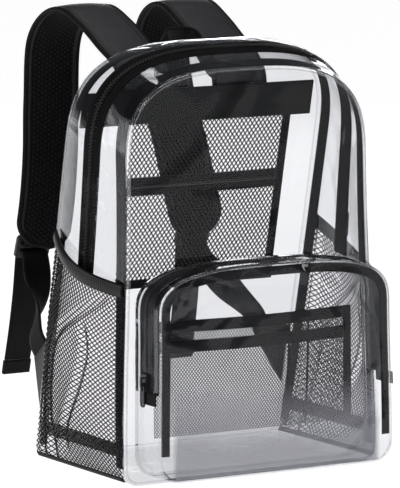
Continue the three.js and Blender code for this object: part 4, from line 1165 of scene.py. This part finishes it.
def smooth_path(points, count):
    """A centripetal Catmull-Rom curve through the points, resampled evenly by length."""
    p = np.asarray(points, dtype=float)
    p = np.vstack([2 * p[0] - p[1], p, 2 * p[-1] - p[-2]])
    s = np.linspace(0, 1, 60)[:, None]
    pieces = []
    for before, here, there, after in zip(p[:-3], p[1:-2], p[2:-1], p[3:]):
        d0, d1, d2 = (math.sqrt(np.linalg.norm(b - a)) for a, b in
                      ((before, here), (here, there), (there, after)))
        leave = ((here - before) / d0 - (there - before) / (d0 + d1) + (there - here) / d1) * d1
        arrive = ((there - here) / d1 - (after - here) / (d1 + d2) + (after - there) / d2) * d1
        pieces.append((2 * s**3 - 3 * s**2 + 1) * here + (s**3 - 2 * s**2 + s) * leave
                      + (3 * s**2 - 2 * s**3) * there + (s**3 - s**2) * arrive)
    fine = np.concatenate(pieces)
    length = distances(fine)
    keep = np.concatenate([[True], np.diff(length) > 0])
    return read_at(np.linspace(0, length[-1], count), length[keep], fine[keep])

def strap_path(side, count):
    root = back_skin((STRAP.spacing - STRAP.width) / 2, STRAP.root) + 0.3 * MM + STRAP.thickness / 2
    points = []
    for table, low in ((STRAP_RISE, STRAP.root), (STRAP_FALL, STRAP.end)):
        for across, back, up in table:
            points.append([
                side * (STRAP.spacing / 2 + (STRAP.spread - STRAP.spacing / 2) * across),
                root + (STRAP.reach - root) * back, low + (STRAP.top - low) * up])
    return smooth_path(points, count)


def square_to(along, across):
    return unit(across - along * np.sum(across * along, axis=-1, keepdims=True))


def make_pad(word, path):
    """A padded strap: a crowned section with a sewn channel inside each edge, carried along
    the path, its width closing as a half ellipse at the lower end."""
    along = unit(np.gradient(path, axis=0))
    across = square_to(along, np.broadcast_to(RIGHT, path.shape))
    out = np.cross(along, across)
    length = distances(path)
    into = np.clip((length - (length[-1] - STRAP.round)) / STRAP.round, 0, 0.999)
    width = STRAP.width / 2 * np.sqrt(1 - into**2)
    turn = np.linspace(0, math.tau, 64, endpoint=False)
    w, n = (np.sign(wave) * np.abs(wave) ** PAD_SQUARE for wave in (np.cos(turn), np.sin(turn)))
    crowned = 1 - PAD_CROWN * w**2
    channel = 1 - CHANNEL_DEPTH * np.exp(-((np.abs(w) - CHANNEL_PLACE) / CHANNEL_WIDTH) ** 2)
    soft = 1 + 0.03 * np.sin(length / 0.021)[:, None] * (1 - w**2)
    half = STRAP.thickness / 2 * n * crowned * channel * soft * np.sqrt(1 - into**4)[:, None]
    u = w[None] * width[:, None]
    grid = path[:, None] + across[:, None] * u[..., None] + out[:, None] * half[..., None]
    points = grid.reshape(-1, 3)
    rows, sides = u.shape
    quads = grid_faces(rows, sides, ring=True)
    shell = np.concatenate([quads[:, [0, 1, 2]], quads[:, [0, 2, 3]]])
    k = np.arange(sides - 2)
    first = np.stack([0 * k, k + 1, k + 2], axis=-1)
    caps = np.concatenate([first, first[:, ::-1] + (rows - 1) * sides])
    turned = outward(points, shell)
    if not np.array_equal(turned, shell):
        caps = caps[:, ::-1]
    uv = np.stack([u.ravel(), np.repeat(length, sides)], axis=-1)
    corner = np.concatenate([shell[:, 0] % sides, np.zeros(len(caps), dtype=int)])
    inner = (n[corner] > 0.2) & (np.abs(w[corner]) < CHANNEL_PLACE)
    piece = mesh_piece(f"pad_{word}", points, np.concatenate([turned, caps]), [NYLON, AIR_MESH],
                       uv, inner.astype(int))
    dress(piece, "padded_nylon", f"shoulder_pad_{word}")
    inset = across * np.maximum(width - 1.8 * MM, 0)[:, None]
    keep = into < 0.985
    edge = np.concatenate([(path - inset)[keep], (path + inset)[keep][::-1]])
    away = np.concatenate([out[keep], out[keep][::-1]])
    dress(tube(f"pad_edge_{word}", edge, 10, PAD_EDGE, BINDING, away, flatten=0.95),
          "black_binding")
    seams = []
    for share in (CHANNEL_PLACE, -CHANNEL_PLACE):
        for face in (1, -1):
            line = path + across * (share * width[:, None]) + out * (face * 3.3 * MM)
            seams.append((line[4:-18], face * out[4:-18]))
    dress(stitches(f"pad_stitches_{word}", seams, THREAD, 3.2 * MM), "black_binding")


def ribbon(name, path, across, node, width=WEB_WIDTH, thickness=WEB_THICKNESS):
    """A flat webbing strap of even width along a path."""
    along = unit(np.gradient(path, axis=0))
    across = square_to(along, np.broadcast_to(across, path.shape))
    offset = np.linspace(-0.5, 0.5, 9) * width
    grid = path[:, None] + across[:, None] * offset[None, :, None]
    dress(thick_sheet(name, grid, thickness, WEBBING, -thickness / 2), "webbing", node)


def cross_seam(path, across, at, width, out, half):
    """A line of stitches straight across a ribbon at a share of its length."""
    k = int(at * (len(path) - 1))
    along = unit(np.gradient(path, axis=0))[k]
    side = square_to(along[None], np.atleast_2d(across))[0]
    normal = np.cross(along, side) * out
    place = path[k] + normal * half
    line = np.stack([place - side * width / 2, place, place + side * width / 2])
    return line, np.broadcast_to(normal, line.shape)


def make_strap(word, side):
    """One shoulder strap: pad, keeper, webbing through the ladder buckle's slots, anchor wing and free
    end.
    """
    path = strap_path(side, 260)
    make_pad(word, path)
    down = np.array([0, math.sin(BUCKLE_TILT), -math.cos(BUCKLE_TILT)])
    out = np.array([0, math.cos(BUCKLE_TILT), math.sin(BUCKLE_TILT)])
    middle = path[-1] + np.array([0, BUCKLE_BACK, 0])
    upper, lower = middle - down * SLOT_PITCH, middle + down * SLOT_PITCH
    along = unit(np.gradient(path, axis=0))
    length = distances(path)[-1]

    def on_pad(distance):
        k = int(round((1 - distance / length) * (len(path) - 1)))
        return path[k] + np.cross(RIGHT, along[k]) * (STRAP.thickness / 2 + WEB_THICKNESS)

    def through(slot):
        return [slot - out * 2 * THROUGH + down * THROUGH / 2, slot - out * THROUGH,
                slot + out * THROUGH]

    keeper = smooth_path([*map(on_pad, KEEPER_REACH), *through(upper)], 40)
    ribbon(f"keeper_{word}", keeper, RIGHT, f"buckle_keeper_{word}")

    rise = np.array([0, 0.62, 0.785])
    edge = np.array([0, -0.785, 0.62])

    def seam(z):
        return np.array([side * WING.seam, back_plane(z) + PIPING + 0.3 * MM, z])

    low, high = seam(WING.low), seam(WING.high)
    wing = np.array([side * (WING.seam - WING.inward), high[1] + WING.back, WING.height])
    r = np.linspace(0, 1, 16)[:, None, None]
    c = np.linspace(0, 1, 16)[None, :, None]
    inner = low + (high - low) * r
    grid = inner + (wing + edge * (r - 0.5) * WEB_WIDTH - inner) * c
    piece = thick_sheet(f"wing_{word}", grid, WING.thickness, NYLON, -WING.thickness / 2)
    dress(piece, "black_binding", f"strap_anchor_{word}")

    start = wing + rise * WEB_THICKNESS / 2
    bend = lower - out * 5 * THROUGH + down * 4 * THROUGH
    web = smooth_path([start, start + rise * WEB_WIDTH * 0.5, start + (bend - start) * 0.62, bend,
                       *through(lower)], 120)
    share = smoothstep(0.1, 0.85, np.linspace(0, 1, 120))[:, None]
    ribbon(f"webbing_{word}", web, edge * (1 - share) + RIGHT * side * share,
           f"strap_webbing_{word}")

    start = lower + out * (THROUGH + 0.3 * MM)

    def tail_at(portion):
        return start + np.array([side * TAIL_OUT * portion,
                                 5 * MM + TAIL_BACK * portion**1.6, -TAIL_DROP * portion])

    tail = smooth_path([start, start + out * 1.8 * MM, start + out * 3.6 * MM + down * 1.8 * MM,
                        *map(tail_at, (0.1, 0.4, 0.7, 1))], 120)
    ribbon(f"tail_{word}", tail, RIGHT, f"strap_tail_{word}")
    fold = (tail_at(1) - np.array([0, 0, WEB_THICKNESS / 2])
            + np.linspace(0, 1, 12)[:, None] * TAIL_FOLD)
    ribbon(f"tail_end_{word}", fold, RIGHT, f"tail_fold_{word}", WEB_WIDTH + 1 * MM, 4.2 * MM)
    lines = []
    for ribbon_path, spots, half in ((fold, (0.2, 0.8), 2.2 * MM), (keeper, (0.05, 0.35), 1 * MM)):
        for spot in spots:
            for face in (1, -1):
                lines.append(cross_seam(ribbon_path, RIGHT, spot, WEB_WIDTH * 0.86, face, half))
    dress(stitches(f"strap_stitches_{word}", lines, THREAD, 3 * MM), "black_binding")


def softened(node, name, finish, slot, width):
    """A copy of a hard node's mesh with its doubles merged and its edges rounded."""
    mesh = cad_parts[node].data.copy()
    mesh.name = name
    shape = bmesh.new()
    shape.from_mesh(mesh)
    bmesh.ops.remove_doubles(shape, verts=shape.verts, dist=0.01 * MM)
    bmesh.ops.dissolve_limit(
        shape, angle_limit=math.radians(1), verts=shape.verts, edges=shape.edges)
    shape.to_mesh(mesh)
    shape.free()
    mesh.materials.clear()
    mesh.materials.append(finish)
    piece = link(bpy.data.objects.new(name, mesh))
    bevel = piece.modifiers.new("edges", "BEVEL")
    bevel.width = width
    bevel.segments = 2
    bevel.limit_method = "ANGLE"
    bevel.angle_limit = math.radians(35)
    dress(piece, slot, node)


LOOP = SimpleNamespace(span=40 * MM, root=396 * MM, top=428 * MM, reach=57 * MM, width=21 * MM,
                       thickness=2.6 * MM)


def make_carry_loop():
    """A webbing loop that leaves the back sheet squarely and arches up between the straps."""
    step = 1 * MM
    slope = back_skin(0.0, LOOP.root + step) - back_skin(0.0, LOOP.root - step)
    upright = unit(np.array([0, slope, 2 * step]))
    off = np.array([0, upright[2], -upright[1]]) * 2 * LOOP.thickness
    start = back_skin(LOOP.span / 2, LOOP.root) + 0.3 * MM

    def at(aside, back, up):
        return np.array([-LOOP.span * aside, start + (LOOP.reach - start) * back,
                         LOOP.root + (LOOP.top - LOOP.root) * up])

    first = at(0.5, 0, 0)
    half = [first, first + off, first + off * 2, at(0.5, 0.6, 0.5), at(0.45, 0.9, 0.9),
            at(0.3, 1, 1)]
    other = [point * np.array([-1, 1, 1]) for point in reversed(half)]
    path = smooth_path(half + other, 160)
    share = np.linspace(0, 1, 160)
    turn = smoothstep(0.02, 0.25, np.minimum(share, 1 - share))[:, None]
    across = upright * (1 - turn) + np.array([0, -0.68, 0.73]) * turn
    ribbon("loop_webbing", path, across, "carry_loop", LOOP.width, LOOP.thickness)


# Cloth tabs at the ends of the pocket zip

TAB_LOW, TAB_HIGH = 86 * MM, 98 * MM
TAB_FRONT, TAB_REAR = 2 * MM, 32 * MM


def make_end_tabs():
    low, high = (float(share_at_height(z, POCKET)) for z in (TAB_LOW, TAB_HIGH))
    for word, from_share, to_share in (("left", 1 - high, 1 - low), ("right", low, high)):
        grid = pocket_grid(np.linspace(from_share, to_share, 10), TAB_FRONT, TAB_REAR, 30)
        binding(f"zip_tab_{word}", grid, f"zip_end_tab_{word}", thickness=1 * MM, inset=-3.2 * MM)


# Floor and light

FLOOR_REACH, FLOOR_LEVEL = 30.0, -0.4 * MM

# Name, place, height aimed at, size and power of each light
LIGHTS = [
    ("left_strip", (-1.9, -0.7, 0.9), 0.25, (0.12, 1.8), 9),
    ("left_rear", (-2.0, 1.2, 0.8), 0.25, (0.6, 1.2), 7),
    ("right_box", (1.6, -2.0, 1.1), 0.2, (0.2, 1.4), 8),
    ("front_box", (-0.6, -2.6, 1.9), 0.2, (1.0, 0.3), 10),
    ("top_box", (0.2, 0.3, 2.2), 0.2, (1.0, 0.6), 14),
    ("rear_low", (1.6, 2.7, 0.95), 0.3, (2.0, 0.5), 14)]
SKY = [(0.01, (0.55, 0.55, 0.57, 1)), (0.10, (0.06, 0.061, 0.066, 1))]
SKY_STRENGTH = 0.9


def make_floor():
    """A white floor that reaches far past the view."""
    net = Net("floor")
    material = net.finish(net.principled(
        Base_Color=(0.28, 0.28, 0.28), Roughness=0.9, Emission_Color=(1, 1, 1),
        Emission_Strength=0.96))
    r, z = FLOOR_REACH, FLOOR_LEVEL
    corners = [[-r, -r, z], [r, -r, z], [r, r, z], [-r, r, z]]
    mesh_piece("floor", corners, [[0, 1, 2, 3]], [material])


def make_lights():
    """Soft boxes and bright strips round the object."""
    for name, place, height, size, power in LIGHTS:
        data = bpy.data.lights.new(name, "AREA")
        data.shape = "RECTANGLE"
        data.size, data.size_y = size
        data.energy = power
        light = link(bpy.data.objects.new(name, data))
        light.location = place
        toward = Vector((0, 0, height)) - Vector(place)
        light.rotation_euler = toward.to_track_quat("-Z", "Y").to_euler()


def make_sky():
    """A sky that is bright at the horizon and dark overhead."""
    world = bpy.data.worlds.new("studio")
    bpy.context.scene.world = world
    world.use_nodes = True
    tree = world.node_tree
    tree.nodes.clear()
    where, split, ramp, sky, output = (tree.nodes.new(f"ShaderNode{kind}") for kind in (
        "TexCoord", "SeparateXYZ", "ValToRGB", "Background", "OutputWorld"))
    for stop, (place, colour) in zip(ramp.color_ramp.elements, SKY):
        stop.position, stop.color = place, colour
    sky.inputs[1].default_value = SKY_STRENGTH
    tree.links.new(where.outputs["Generated"], split.inputs[0])
    tree.links.new(split.outputs[2], ramp.inputs[0])
    tree.links.new(ramp.outputs[0], sky.inputs[0])
    tree.links.new(sky.outputs[0], output.inputs[0])
    bpy.context.scene.view_settings.view_transform = "Standard"


def dress_nodes():
    """Finishes of the hard nodes that keep their own shape."""
    for node in ("pocket_slider", "pocket_pull", "main_sliders"):
        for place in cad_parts[node].material_slots:
            place.material = METAL


make_camera()
make_panels()
make_gussets()
make_pocket()
make_pipings()
make_bindings()
make_main_zip()
make_side_pockets()
make_inside()
make_organiser()
for strap_word, strap_side in (("left", -1), ("right", 1)):
    make_strap(strap_word, strap_side)
    softened(f"ladder_buckle_{strap_word}", f"buckle_{strap_word}", PLASTIC, "buckle_plastic",
             0.7 * MM)
make_carry_loop()
make_end_tabs()
dress_nodes()
make_floor()
make_lights()
make_sky()
